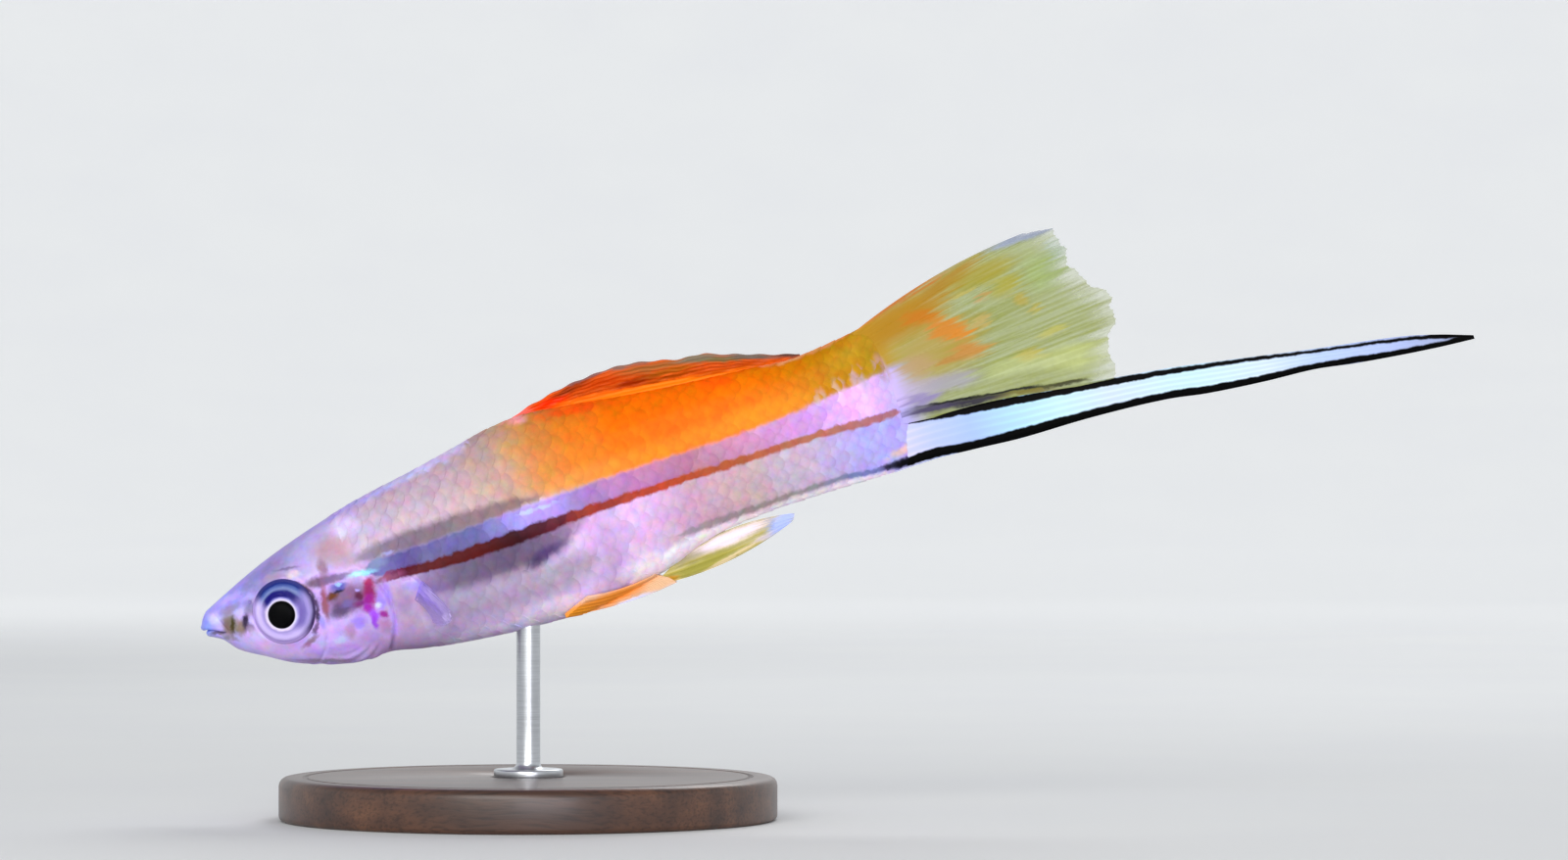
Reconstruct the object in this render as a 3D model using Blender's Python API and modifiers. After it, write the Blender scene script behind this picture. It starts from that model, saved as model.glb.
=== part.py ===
"""A grown male swordtail, life size, as a still museum model on a plain display stand.

Sizes are in metres. Each piece of the fish is modelled in the fish's own frame: the snout tip is
its origin, +X runs towards the tail, +Z towards the back, and the fish's left side is at -Y. All
those pieces hang from one empty, which tilts the swimming fish nose down over its stand.
"""

import math
from collections import namedtuple

import bmesh
import bpy
from mathutils import Vector

MM = 0.001

# Driving dimensions of the fish
STANDARD_LENGTH = 68.0 * MM  # snout tip to the end of the tail stalk
SWORD_TIP = 119.9 * MM  # behind the snout, along the fish's own axis
NOSE_DOWN = math.radians(18.5)
HEAD_END = 18.0 * MM
VENT = 44.0 * MM

# Clearances between pieces that meet
GAP = 0.3 * MM
PAST = 6.0 * MM  # how far a cutter runs past what it cuts

# Driving dimensions of the stand
BASE_RADIUS = 23.0 * MM
BASE_HEIGHT = 4.0 * MM
BASE_EDGE = 0.6 * MM
ROD_RADIUS = 1.1 * MM
ROD_AT = 28.5 * MM  # behind the snout, where the rod meets the belly: under the centre of mass
ROD_IN_BELLY = 3.0 * MM
FLANGE_RADIUS = 3.2 * MM
FLANGE_HEIGHT = 1.2 * MM
FLANGE_RECESS = 0.7 * MM
SNOUT_HEIGHT = 18.1 * MM  # above the floor

# Thickness of the fins
DORSAL_THICK = 0.7 * MM
CAUDAL_THICK = 0.6 * MM
GONOPODIUM_THICK = 0.8 * MM
PECTORAL_THICK = 0.5 * MM
PELVIC_THICK = 0.6 * MM

# Fineness of the solids
BODY_SIDES = 32
SNOUT_RINGS = 4
HEAD_STEP = 1.0 * MM  # between the cross sections of the head
TRUNK_STEP = 2.0 * MM
SWORD_SIDES = 12
SWORD_RINGS = 22
EYE_SEGMENTS = 20
EYE_RINGS = 12
GILL_SIDES = 40
BASE_SIDES = 56
RECESS_SIDES = 28
ROD_SIDES = 20

Paint = namedtuple("Paint", "colour roughness metallic")
PAINTS = {
    "head_skin": Paint((0.52, 0.44, 0.66), 0.35, 0.0),
    "trunk_skin": Paint((0.66, 0.50, 0.62), 0.35, 0.0),
    "tail_skin": Paint((0.90, 0.36, 0.06), 0.35, 0.0),
    "fin_orange": Paint((0.93, 0.24, 0.03), 0.4, 0.0),
    "fin_clear": Paint((0.74, 0.76, 0.48), 0.4, 0.0),
    "sword_blue": Paint((0.62, 0.74, 0.95), 0.35, 0.0),
    "eye": Paint((0.30, 0.28, 0.45), 0.1, 0.0),
    "stand_wood": Paint((0.10, 0.055, 0.03), 0.4, 0.0),
    "stand_steel": Paint((0.62, 0.62, 0.64), 0.3, 1.0),
}


def smooth_line(*points):
    """A smooth curve through (place, value) points, given in millimetres, as a function in metres.

    It is a monotone cubic: it keeps the points' own highs and lows and adds none between them.
    """
    places = [p[0] * MM for p in points]
    values = [p[1] * MM for p in points]
    steps = [(values[i + 1] - values[i]) / (places[i + 1] - places[i]) for i in range(len(points) - 1)]
    slopes = [steps[0]]
    for before, after in zip(steps, steps[1:]):
        slopes.append(0.0 if before * after <= 0 else 2 * before * after / (before + after))
    slopes.append(steps[-1])

    def value(place):
        place = min(max(place, places[0]), places[-1])
        i = max(k for k in range(len(places) - 1) if places[k] <= place or k == 0)
        span = places[i + 1] - places[i]
        t = (place - places[i]) / span
        return (
            values[i] * (1 + 2 * t) * (1 - t) ** 2
            + slopes[i] * span * t * (1 - t) ** 2
            + values[i + 1] * t * t * (3 - 2 * t)
            - slopes[i + 1] * span * t * t * (1 - t)
        )

    return value


# The fish's outline, as distance behind the snout and height above its own axis
BACK = smooth_line(
    (0, 0.75), (2.2, 1.7), (4.9, 2.85), (7.7, 3.9), (12.6, 5.35), (17.3, 6.45), (22.9, 7.35),
    (26.5, 8.0), (31.1, 8.85), (34, 9.05), (38, 8.6), (44.1, 7.7), (49.7, 7.0), (54.9, 6.5),
    (59.6, 6.05), (64, 6.4), (68, 7.0),
)
BELLY = smooth_line(
    (0, -1.35), (1.4, -2.1), (2.6, -3.5), (4.7, -4.85), (7.1, -6.3), (9.5, -7.25), (12.3, -8.0),
    (14.0, -8.2), (15.3, -8.1), (19, -8.85), (23.1, -9.5), (28.8, -10.1), (33.5, -10.3), (38.5, -9.75),
    (43.3, -8.8), (46.2, -7.8), (49.5, -7.15), (54.5, -6.9), (58.9, -6.95), (64.9, -7.15), (68, -7.2),
)
HALF_WIDTH = smooth_line(
    (0, 1.45), (1.5, 2.0), (4, 2.85), (8, 3.85), (12, 4.3), (17, 4.6), (23, 4.8), (30, 4.65),
    (38, 4.0), (46, 3.1), (54, 2.55), (61, 2.1), (65, 1.5), (68, 0.6),
)
WIDEST = smooth_line((0, -0.3), (4, -0.9), (8, -1.2), (20, -0.8), (33, -0.6), (46, -0.3), (68, 0.0))

# How square a cross section is above and below its widest level: 2 is an ellipse. The values are
# plain numbers, so they are divided by MM again where they are used.
SQUARE_ABOVE = smooth_line((0, 2.3), (8, 2.7), (16, 2.4), (28, 2.0), (45, 1.9), (68, 2.0))
SQUARE_BELOW = smooth_line((0, 2.2), (10, 2.1), (25, 2.2), (40, 2.1), (46, 1.85), (68, 1.9))
SNOUT_ROUND = 1.0 * MM  # length of the rounded tip

# The sword: the long lower rays of the tail fin
SWORD_TOP = smooth_line(
    (65, -2.9), (69.7, -3.1), (75.1, -3.55), (80.4, -4.2), (88.3, -5.35), (92.6, -6.0), (96.8, -6.8),
    (105.2, -8.45), (113.8, -10.05), (116.8, -10.9), (119.9, -12.0),
)
SWORD_BOTTOM = smooth_line(
    (65, -7.1), (68.5, -7.05), (72.7, -7.35), (77.8, -7.8), (82.7, -7.95), (87.4, -8.25), (91.3, -8.65),
    (94.9, -9.3), (100.4, -9.95), (104.7, -10.3), (109, -11.05), (116.6, -12.05), (119.9, -12.35),
)
SWORD_HALF_THICK = smooth_line((64, 0.6), (80, 0.5), (110, 0.35), (119.9, 0.26))
SWORD_SQUARE = 3.0
SWORD_ROOT = 65.5 * MM

# Eyes, gill covers and jaw, in the fish's frame
EYE_AT = Vector((7.69, 2.75, -1.36)) * MM
EYE_RADII = Vector((2.8, 1.8, 2.8)) * MM
GILL_CENTRE = Vector((12.2, 0.0, -3.9)) * MM
GILL_RADIUS = 5.2 * MM
GILL_FRONT = 11.9 * MM
GILL_INNER = 2.4 * MM  # the flat inner side of the cover, from the middle of the head
MOUTH_FRONT = -0.75 * MM  # height of the gape at the snout
MOUTH_CORNER = Vector((1.8, 0.0, -1.46)) * MM
JAW_JOINT = Vector((4.6, 0.0, -5.2)) * MM
PELVIC_STAND_OFF = 0.45 * MM  # of a pelvic fin's middle sheet from the belly
PELVIC_APART = 1.1 * MM  # least distance of that sheet from the middle of the fish


def paint(name):
    """The material of that name, made the first time it is asked for."""
    found = bpy.data.materials.get(name)
    if found:
        return found
    material = bpy.data.materials.new(name)
    material.use_nodes = True
    shader = material.node_tree.nodes["Principled BSDF"]
    shader.inputs["Base Color"].default_value = (*PAINTS[name].colour, 1.0)
    shader.inputs["Roughness"].default_value = PAINTS[name].roughness
    shader.inputs["Metallic"].default_value = PAINTS[name].metallic
    return material


def new_collection(name, hidden=False):
    collection = bpy.data.collections.new(name)
    bpy.context.scene.collection.children.link(collection)
    collection.hide_render = hidden
    return collection


def new_piece(name, mesh, collection, material, pose=None):
    piece = bpy.data.objects.new(name, mesh)
    collection.objects.link(piece)
    piece.parent = pose
    if material:
        mesh.materials.append(paint(material))
    return piece


def new_cutter(name, mesh, collection, pose=None):
    cutter = new_piece(name, mesh, collection, None, pose)
    cutter.hide_render = True
    cutter.display_type = "WIRE"
    return cutter


def mesh_of(name, bm):
    """The bmesh as a finished mesh, smooth but for its sharp edges, with its faces pointing out."""
    bmesh.ops.recalc_face_normals(bm, faces=bm.faces)
    if bm.calc_volume(signed=True) < 0:
        bmesh.ops.reverse_faces(bm, faces=bm.faces)
    mesh = bpy.data.meshes.new(name)
    bm.to_mesh(mesh)
    bm.free()
    mesh.shade_smooth()
    mesh.set_sharp_from_angle(angle=math.radians(40))
    return mesh


def loft(name, rings):
    """A closed solid through rings of points, with a flat cap on the first ring and the last."""
    bm = bmesh.new()
    loops = [[bm.verts.new(point) for point in ring] for ring in rings]
    sides = len(rings[0])
    for loop, following in zip(loops, loops[1:]):
        for i in range(sides):
            k = (i + 1) % sides
            bm.faces.new((loop[i], loop[k], following[k], following[i]))
    bm.faces.new(loops[0])
    bm.faces.new(loops[-1])
    return mesh_of(name, bm)


def oval_point(turn, half_width, middle, top, bottom, square_above, square_below):
    """A point of a squared oval in the cross section; turn 0 is its top and half a circle its bottom."""
    across, up = math.sin(turn), math.cos(turn)
    square = square_above if up > 0 else square_below
    reach = top - middle if up > 0 else middle - bottom
    y = math.copysign(abs(across) ** (2 / square), across) * half_width
    z = middle + math.copysign(abs(up) ** (2 / square), up) * reach
    return y, z


def body_ring(x, swell=0.0):
    """The body's cross section at x, grown by swell on every side."""
    into_snout = max(0.0, 1 - x / SNOUT_ROUND)
    roundness = math.sqrt(max(0.0, 1 - into_snout**2))
    middle = WIDEST(x)
    ring = []
    for i in range(BODY_SIDES):
        y, z = oval_point(
            2 * math.pi * i / BODY_SIDES,
            HALF_WIDTH(x) * roundness + swell,
            middle,
            middle + (BACK(x) - middle) * roundness + swell,
            middle + (BELLY(x) - middle) * roundness - swell,
            SQUARE_ABOVE(x) / MM,
            SQUARE_BELOW(x) / MM,
        )
        ring.append((x, y, z))
    return ring


def body_side(x, z):
    """How far the body's side is from its middle plane, at x and the height z below its widest level."""
    down = min(1.0, (WIDEST(x) - z) / (WIDEST(x) - BELLY(x)))
    square = SQUARE_BELOW(x) / MM
    return HALF_WIDTH(x) * max(0.0, 1 - down**square) ** (1 / square)


def body_length(name, start, end, step, swell=0.0):
    """A length of the body from start to end, in rings about a step apart."""
    places = []
    if start < SNOUT_ROUND:
        shares = [(k + 0.3) / SNOUT_RINGS for k in range(SNOUT_RINGS)]
        places = [SNOUT_ROUND * (1 - math.cos(math.pi / 2 * share)) for share in shares]
        start = SNOUT_ROUND
    count = max(1, round((end - start) / step))
    places += [start + (end - start) * k / count for k in range(count + 1)]
    rings = [body_ring(x, swell) for x in places]
    if swell:
        rings.insert(0, [(x - swell, y, z) for x, y, z in rings[0]])
        rings.append([(x + swell, y, z) for x, y, z in rings[-1]])
    return loft(name, rings)


def sword_ring(x, swell=0.0):
    top, bottom = SWORD_TOP(x) + swell, SWORD_BOTTOM(x) - swell
    ring = []
    for i in range(SWORD_SIDES):
        y, z = oval_point(
            2 * math.pi * i / SWORD_SIDES,
            SWORD_HALF_THICK(x) + swell,
            (top + bottom) / 2,
            top,
            bottom,
            SWORD_SQUARE,
            SWORD_SQUARE,
        )
        ring.append((x, y, z))
    return ring


def sword_mesh(name, swell=0.0):
    places = [SWORD_ROOT + (SWORD_TIP - SWORD_ROOT) * k / SWORD_RINGS for k in range(SWORD_RINGS + 1)]
    return loft(name, [sword_ring(x, swell) for x in places])


def ray_path(*points):
    """A smooth path through points given in millimetres, reached at even shares of 0 to 1."""
    shares = [1000 * k / (len(points) - 1) for k in range(len(points))]
    lines = [smooth_line(*[(share, p[axis]) for share, p in zip(shares, points)]) for axis in range(3)]
    return lambda share: Vector([line(share) for line in lines])


def fin_mesh(name, roots, tips, rays, rows, bow=lambda share: 0.0):
    """A fan of a fin as one open sheet. Each ray runs from roots(share) to tips(share), share 0 to 1.

    A ray bulges upwards by bow(share) at its middle.
    """
    bm = bmesh.new()
    bmesh.ops.create_grid(bm, x_segments=rays, y_segments=rows, size=0.5)
    for vert in bm.verts:
        share, along = vert.co.x + 0.5, vert.co.y + 0.5
        root, tip = roots(share), tips(share)
        vert.co = root.lerp(tip, along)
        vert.co.z += bow(share) * 4 * along * (1 - along)
    return mesh_of(name, bm)


def add_thickness(piece, thickness):
    solidify = piece.modifiers.new("fin thickness", "SOLIDIFY")
    solidify.thickness = thickness
    solidify.offset = 0.0
    solidify.use_even_offset = True


def add_boolean(piece, operation, cutter):
    boolean = piece.modifiers.new(f"{operation.lower()} {cutter.name}", "BOOLEAN")
    boolean.operation = operation
    boolean.object = cutter


def cylinder_mesh(name, radius, start, end, sides, along_y=False):
    """A cylinder from start to end along +Z, or along +Y."""
    bm = bmesh.new()
    bmesh.ops.create_cone(
        bm, cap_ends=True, segments=sides, radius1=radius, radius2=radius, depth=end - start
    )
    bmesh.ops.translate(bm, verts=bm.verts, vec=(0, 0, (start + end) / 2))
    if along_y:
        for vert in bm.verts:
            vert.co = (vert.co.x, vert.co.z, -vert.co.y)
    return mesh_of(name, bm)


def gill_cover_cutter(name, side, grow, cutters, pose):
    """The D-shaped plate that parts a gill cover from the head: round behind, straight in front."""
    inner, outer = GILL_INNER - grow, HALF_WIDTH(HEAD_END) + PAST
    ends = (inner, outer) if side > 0 else (-outer, -inner)
    mesh = cylinder_mesh(name, GILL_RADIUS + grow, *ends, GILL_SIDES, along_y=True)
    bm = bmesh.new()
    bm.from_mesh(mesh)
    bmesh.ops.translate(bm, verts=bm.verts, vec=GILL_CENTRE)
    everything = bm.verts[:] + bm.edges[:] + bm.faces[:]
    cut = bmesh.ops.bisect_plane(
        bm, geom=everything, plane_co=(GILL_FRONT - grow, 0, 0), plane_no=(-1, 0, 0), clear_outer=True
    )
    rim = [e for e in cut["geom_cut"] if isinstance(e, bmesh.types.BMEdge)]
    bmesh.ops.contextual_create(bm, geom=rim)
    bpy.data.meshes.remove(mesh)
    return new_cutter(name, mesh_of(name, bm), cutters, pose)


def jaw_cutter(name, grow, cutters, pose):
    """The wedge that parts the lower jaw: along the gape to the mouth's corner, then down to the joint."""
    gape_slope = (MOUTH_CORNER.z - MOUTH_FRONT) / MOUTH_CORNER.x
    lift = Vector((grow * 0.5, 0, grow))
    outline = [
        Vector((-PAST, 0, MOUTH_FRONT - gape_slope * PAST)) + lift,
        MOUTH_CORNER + lift,
        JAW_JOINT + lift,
        JAW_JOINT + lift + Vector((0, 0, -PAST)),
        Vector((-PAST, 0, JAW_JOINT.z - PAST)),
    ]
    sides = [[(p.x, y, p.z) for p in outline] for y in (-PAST, PAST)]
    return new_cutter(name, loft(name, sides), cutters, pose)


def eyeball_mesh(name, side, grow=0.0):
    bm = bmesh.new()
    bmesh.ops.create_uvsphere(bm, u_segments=EYE_SEGMENTS, v_segments=EYE_RINGS, radius=1.0)
    for vert in bm.verts:
        x, y, z = vert.co
        # The sphere's poles turn to the sides, so that the pupil sits on one of them.
        vert.co = (
            EYE_AT.x + x * (EYE_RADII.x + grow),
            side * (EYE_AT.y + z * (EYE_RADII.y + grow)),
            EYE_AT.z + y * (EYE_RADII.z + grow),
        )
    return mesh_of(name, bm)


def make_head(fish, cutters, pose):
    """Head, lower jaw, both gill covers and both eyes, parted by thin cuts."""
    head = new_piece("head", body_length("head", 0, HEAD_END, HEAD_STEP), fish, "head_skin", pose)
    jaw = new_piece("lower_jaw", body_length("lower_jaw", 0, HEAD_END, HEAD_STEP), fish, "head_skin", pose)
    add_boolean(jaw, "INTERSECT", jaw_cutter("cut_jaw", 0.0, cutters, pose))
    add_boolean(head, "DIFFERENCE", jaw_cutter("cut_jaw_gap", GAP, cutters, pose))
    for label, side in (("left", -1), ("right", 1)):
        name = f"gill_cover_{label}"
        cover = new_piece(name, body_length(name, 0, HEAD_END, HEAD_STEP), fish, "head_skin", pose)
        add_boolean(cover, "INTERSECT", gill_cover_cutter(f"cut_{name}", side, 0.0, cutters, pose))
        add_boolean(head, "DIFFERENCE", gill_cover_cutter(f"cut_{name}_gap", side, GAP, cutters, pose))
        name = f"eye_{label}"
        new_piece(name, eyeball_mesh(name, side), fish, "eye", pose)
        socket = new_cutter(f"cut_socket_{label}", eyeball_mesh("socket", side, GAP), cutters, pose)
        add_boolean(head, "DIFFERENCE", socket)


def make_body(fish, cutters, pose):
    """Trunk and tail stalk, with the socket for the rod in the belly."""
    trunk_mesh = body_length("trunk", HEAD_END + GAP, VENT - GAP, TRUNK_STEP)
    trunk = new_piece("trunk", trunk_mesh, fish, "trunk_skin", pose)
    rod_hole = cylinder_mesh("rod_hole", ROD_RADIUS + GAP, 0, rod_top() + GAP, ROD_SIDES)
    add_boolean(trunk, "DIFFERENCE", new_cutter("cut_rod_hole", rod_hole, cutters))
    stalk_mesh = body_length("tail_stalk", VENT, STANDARD_LENGTH, TRUNK_STEP)
    new_piece("tail_stalk", stalk_mesh, fish, "tail_skin", pose)


def make_median_fins(fish, cutters, pose):
    """The fins in the fish's middle plane: back fin, tail fin, sword and gonopodium."""
    body_gap = new_cutter(
        "cut_body_gap", body_length("cut_body_gap", 0, STANDARD_LENGTH, HEAD_STEP, GAP), cutters, pose
    )
    sword_gap = new_cutter("cut_sword_gap", sword_mesh("cut_sword_gap", GAP), cutters, pose)

    folded_back_fin = fin_mesh(
        "dorsal_fin",
        ray_path((33.2, 0, 8.5), (38, 0, 8.2), (43, 0, 7.4), (48, 0, 6.8), (52.5, 0, 6.3)),
        ray_path((36.9, 0, 9.75), (42.2, 0, 10.2), (48.3, 0, 9.25), (53.6, 0, 8.3), (59.4, 0, 6.5)),
        rays=12,
        rows=5,
        bow=lambda share: 0.25 * MM * (1 - share),
    )
    dorsal = new_piece("dorsal_fin", folded_back_fin, fish, "fin_orange", pose)
    add_thickness(dorsal, DORSAL_THICK)
    add_boolean(dorsal, "DIFFERENCE", body_gap)

    upper_lobe = fin_mesh(
        "caudal_fin",
        ray_path(
            (65.4, 0, 6.3), (66.6, 0, 5.2), (67.0, 0, 3.2), (67.2, 0, 1.0), (67.2, 0, -1.2), (67.0, 0, -3.6),
        ),
        ray_path(
            (83.7, 0, 10.2), (86.1, 0, 9.7), (86.8, 0, 8.0), (86.8, 0, 6.4), (87.6, 0, 4.4), (89.4, 0, 2.3),
            (89.4, 0, 0.6), (88.2, 0, -1.6), (87.4, 0, -5.6),
        ),
        rays=16,
        rows=8,
        bow=lambda share: 0.75 * MM * (1 - share) ** 3,
    )
    caudal = new_piece("caudal_fin", upper_lobe, fish, "fin_clear", pose)
    add_thickness(caudal, CAUDAL_THICK)
    add_boolean(caudal, "DIFFERENCE", body_gap)
    add_boolean(caudal, "DIFFERENCE", sword_gap)

    sword = new_piece("sword", sword_mesh("sword"), fish, "sword_blue", pose)
    add_boolean(sword, "DIFFERENCE", body_gap)

    mating_fin = fin_mesh(
        "gonopodium",
        ray_path((40.6, 0, -9.9), (42.4, 0, -9.0), (44.0, 0, -8.1)),
        ray_path((53.6, 0, -8.75), (54.9, 0, -8.25), (55.2, 0, -7.7)),
        rays=6,
        rows=7,
        bow=lambda share: 0.1 * MM - 0.85 * MM * (1 - share),
    )
    gonopodium = new_piece("gonopodium", mating_fin, fish, "fin_clear", pose)
    add_thickness(gonopodium, GONOPODIUM_THICK)
    add_boolean(gonopodium, "DIFFERENCE", body_gap)
    return body_gap


def make_paired_fins(fish, body_gap, pose):
    """The pectoral fins, held out below the gills, and the pelvic fins, laid back under the belly."""
    for label, side in (("left", -1), ("right", 1)):
        name = f"pectoral_fin_{label}"
        spread = fin_mesh(
            name,
            ray_path((19.5, side * 3.7, -3.9), (20.0, side * 3.7, -3.1), (20.5, side * 3.7, -2.5)),
            ray_path(
                (22.1, side * 7.4, -7.6), (22.4, side * 9.6, -7.4), (22.7, side * 11.3, -6.4),
                (22.3, side * 11.4, -4.9),
            ),
            rays=8,
            rows=6,
        )
        pectoral = new_piece(name, spread, fish, "fin_clear", pose)
        add_thickness(pectoral, PECTORAL_THICK)
        add_boolean(pectoral, "DIFFERENCE", body_gap)

        name = f"pelvic_fin_{label}"
        laid_back = fin_mesh(
            name,
            ray_path((32.4, 0, -9.95), (33.4, 0, -9.6), (34.6, 0, -9.25)),
            ray_path((42.6, 0, -10.4), (42.2, 0, -9.9), (40.2, 0, -9.1)),
            rays=4,
            rows=8,
            bow=lambda share: -0.45 * MM,
        )
        for vert in laid_back.vertices:
            beside_belly = body_side(vert.co.x, vert.co.z) + PELVIC_STAND_OFF
            vert.co.y = side * max(beside_belly, PELVIC_APART)
        pelvic = new_piece(name, laid_back, fish, "fin_orange", pose)
        add_thickness(pelvic, PELVIC_THICK)
        add_boolean(pelvic, "DIFFERENCE", body_gap)


def in_world(point):
    """A point of the fish's frame, in the model's frame."""
    cosine, sine = math.cos(NOSE_DOWN), math.sin(NOSE_DOWN)
    snout = snout_place()
    return Vector(
        (
            snout.x + point.x * cosine - point.z * sine,
            point.y,
            snout.z + point.x * sine + point.z * cosine,
        )
    )


def snout_place():
    """Where the snout tip stands, so that the rod on the model's Z axis meets the belly at ROD_AT."""
    back = ROD_AT * math.cos(NOSE_DOWN) - BELLY(ROD_AT) * math.sin(NOSE_DOWN)
    return Vector((-back, 0, SNOUT_HEIGHT))


def rod_top():
    return in_world(Vector((ROD_AT, 0, BELLY(ROD_AT)))).z + ROD_IN_BELLY


def make_stand(fish, cutters):
    """A turned disc, with a rod whose flange sits in a shallow recess in its top."""
    disc = cylinder_mesh("stand_base", BASE_RADIUS, 0, BASE_HEIGHT, BASE_SIDES)
    base = new_piece("stand_base", disc, fish, "stand_wood")
    recess = cylinder_mesh(
        "recess", FLANGE_RADIUS + GAP, BASE_HEIGHT - FLANGE_RECESS, BASE_HEIGHT + PAST, RECESS_SIDES
    )
    edge = base.modifiers.new("rounded edge", "BEVEL")
    edge.width = BASE_EDGE
    edge.segments = 2
    add_boolean(base, "DIFFERENCE", new_cutter("cut_recess", recess, cutters))

    foot = BASE_HEIGHT - FLANGE_RECESS + GAP
    profile = [
        (0, rod_top()),
        (ROD_RADIUS, rod_top()),
        (ROD_RADIUS, foot + FLANGE_HEIGHT),
        (FLANGE_RADIUS, foot + FLANGE_HEIGHT),
        (FLANGE_RADIUS, foot),
        (0, foot),
    ]
    bm = bmesh.new()
    corners = [bm.verts.new((radius, 0, height)) for radius, height in profile]
    for first, second in zip(corners, corners[1:]):
        bm.edges.new((first, second))
    mesh = bpy.data.meshes.new("stand_rod")
    bm.to_mesh(mesh)
    bm.free()
    rod = new_piece("stand_rod", mesh, fish, "stand_steel")
    turning = rod.modifiers.new("turned", "SCREW")
    turning.steps = ROD_SIDES
    turning.render_steps = ROD_SIDES
    turning.use_merge_vertices = True
    turning.merge_threshold = 0.01 * MM


def main():
    for leftover in list(bpy.data.objects):
        bpy.data.objects.remove(leftover)
    fish = new_collection("swordtail")
    cutters = new_collection("cutters", hidden=True)
    pose = bpy.data.objects.new("swimming_pose", None)
    fish.objects.link(pose)
    pose.location = snout_place()
    pose.rotation_euler = (0, -NOSE_DOWN, 0)
    make_head(fish, cutters, pose)
    make_body(fish, cutters, pose)
    body_gap = make_median_fins(fish, cutters, pose)
    make_paired_fins(fish, body_gap, pose)
    make_stand(fish, cutters)


main()
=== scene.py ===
# %% [markdown]
# # A male swordtail on a display stand
#
# This lesson gives a life-size museum model of a fish its skin, scales, fins and eyes. The solids of the
# model are loaded first. They say where everything is, so each finished piece is shaped in the fish's own
# frame, in millimetres: the snout tip is its origin, x runs towards the tail, z towards the back, and the
# left side is at negative y.

# %% Load the solids
import math

import bpy
import numpy as np
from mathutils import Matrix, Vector


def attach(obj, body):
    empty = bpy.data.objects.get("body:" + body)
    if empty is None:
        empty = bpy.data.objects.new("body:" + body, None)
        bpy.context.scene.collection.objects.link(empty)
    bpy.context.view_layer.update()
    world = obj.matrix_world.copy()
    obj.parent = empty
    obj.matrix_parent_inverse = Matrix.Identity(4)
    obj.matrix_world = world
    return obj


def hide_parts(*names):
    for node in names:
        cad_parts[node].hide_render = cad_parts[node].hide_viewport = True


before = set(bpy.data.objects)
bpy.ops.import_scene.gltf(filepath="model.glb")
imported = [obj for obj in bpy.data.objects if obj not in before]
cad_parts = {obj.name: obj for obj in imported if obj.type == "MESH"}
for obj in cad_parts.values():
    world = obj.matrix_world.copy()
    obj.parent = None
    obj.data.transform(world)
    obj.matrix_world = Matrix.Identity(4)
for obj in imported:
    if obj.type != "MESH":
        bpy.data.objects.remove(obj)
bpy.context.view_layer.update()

MM = 0.001
print("nodes:", len(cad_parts))

# %% [markdown]
# ## The fish's own frame
#
# The model swims nose down over its stand. Working out each point in the tilted frame would be hard to
# read, so one function turns points of the fish's frame into the model's, and everything else stays in
# millimetres.

# %% The fish's frame
NOSE_DOWN = math.radians(18.5)
SNOUT_HEIGHT = 18.1
ROD_AT = 28.5
ROD_BELLY = -10.07
COSINE = math.cos(NOSE_DOWN)
SINE = math.sin(NOSE_DOWN)
SNOUT_X = ROD_BELLY * SINE - ROD_AT * COSINE


def to_world(fish):
    """Points of the fish's frame in millimetres, as points of the model in metres."""
    x, y, z = np.moveaxis(np.asarray(fish, float), -1, 0)
    world_x = SNOUT_X + x * COSINE - z * SINE
    world_z = SNOUT_HEIGHT + x * SINE + z * COSINE
    return MM * np.stack([world_x, y, world_z], axis=-1)


def smooth_line(*points):
    """A smooth curve through (place, value) points, with no highs or lows but theirs."""
    # The slope at each point is the harmonic mean of those on both sides, or 0 at a high or a low.
    places, values = np.array(points, float).T
    steps = np.diff(values) / np.diff(places)
    before, after = steps[:-1], steps[1:]
    same_way = before * after > 0
    inner = np.where(same_way, 2 * before * after / np.where(same_way, before + after, 1), 0)
    slopes = np.concatenate([steps[:1], inner, steps[-1:]])

    def value(place):
        place = np.clip(place, places[0], places[-1])
        i = np.clip(np.searchsorted(places, place) - 1, 0, len(places) - 2)
        span = places[i + 1] - places[i]
        t = (place - places[i]) / span
        start = values[i] * (1 + 2 * t) * (1 - t) ** 2 + slopes[i] * span * t * (1 - t) ** 2
        end = values[i + 1] * t * t * (3 - 2 * t) - slopes[i + 1] * span * t * t * (1 - t)
        return start + end

    return value


def ramp(value, start, end):
    """0 at start, 1 at end, and a soft S between them."""
    t = np.clip((value - start) / (end - start), 0, 1)
    return t * t * (3 - 2 * t)


def ridge(distance, width):
    """A soft crest: 1 where distance is 0, fading over width."""
    return np.exp(-((distance / width) ** 2))


# %% [markdown]
# ## The lines of the body
#
# A fish has few flat places and no straight ones, so its body is described by four curves along its length:
# the back, the belly, the half width, and the height at which it is widest. Each cross section is an oval
# between them. These are the same curves that the solids were lofted from.

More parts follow.
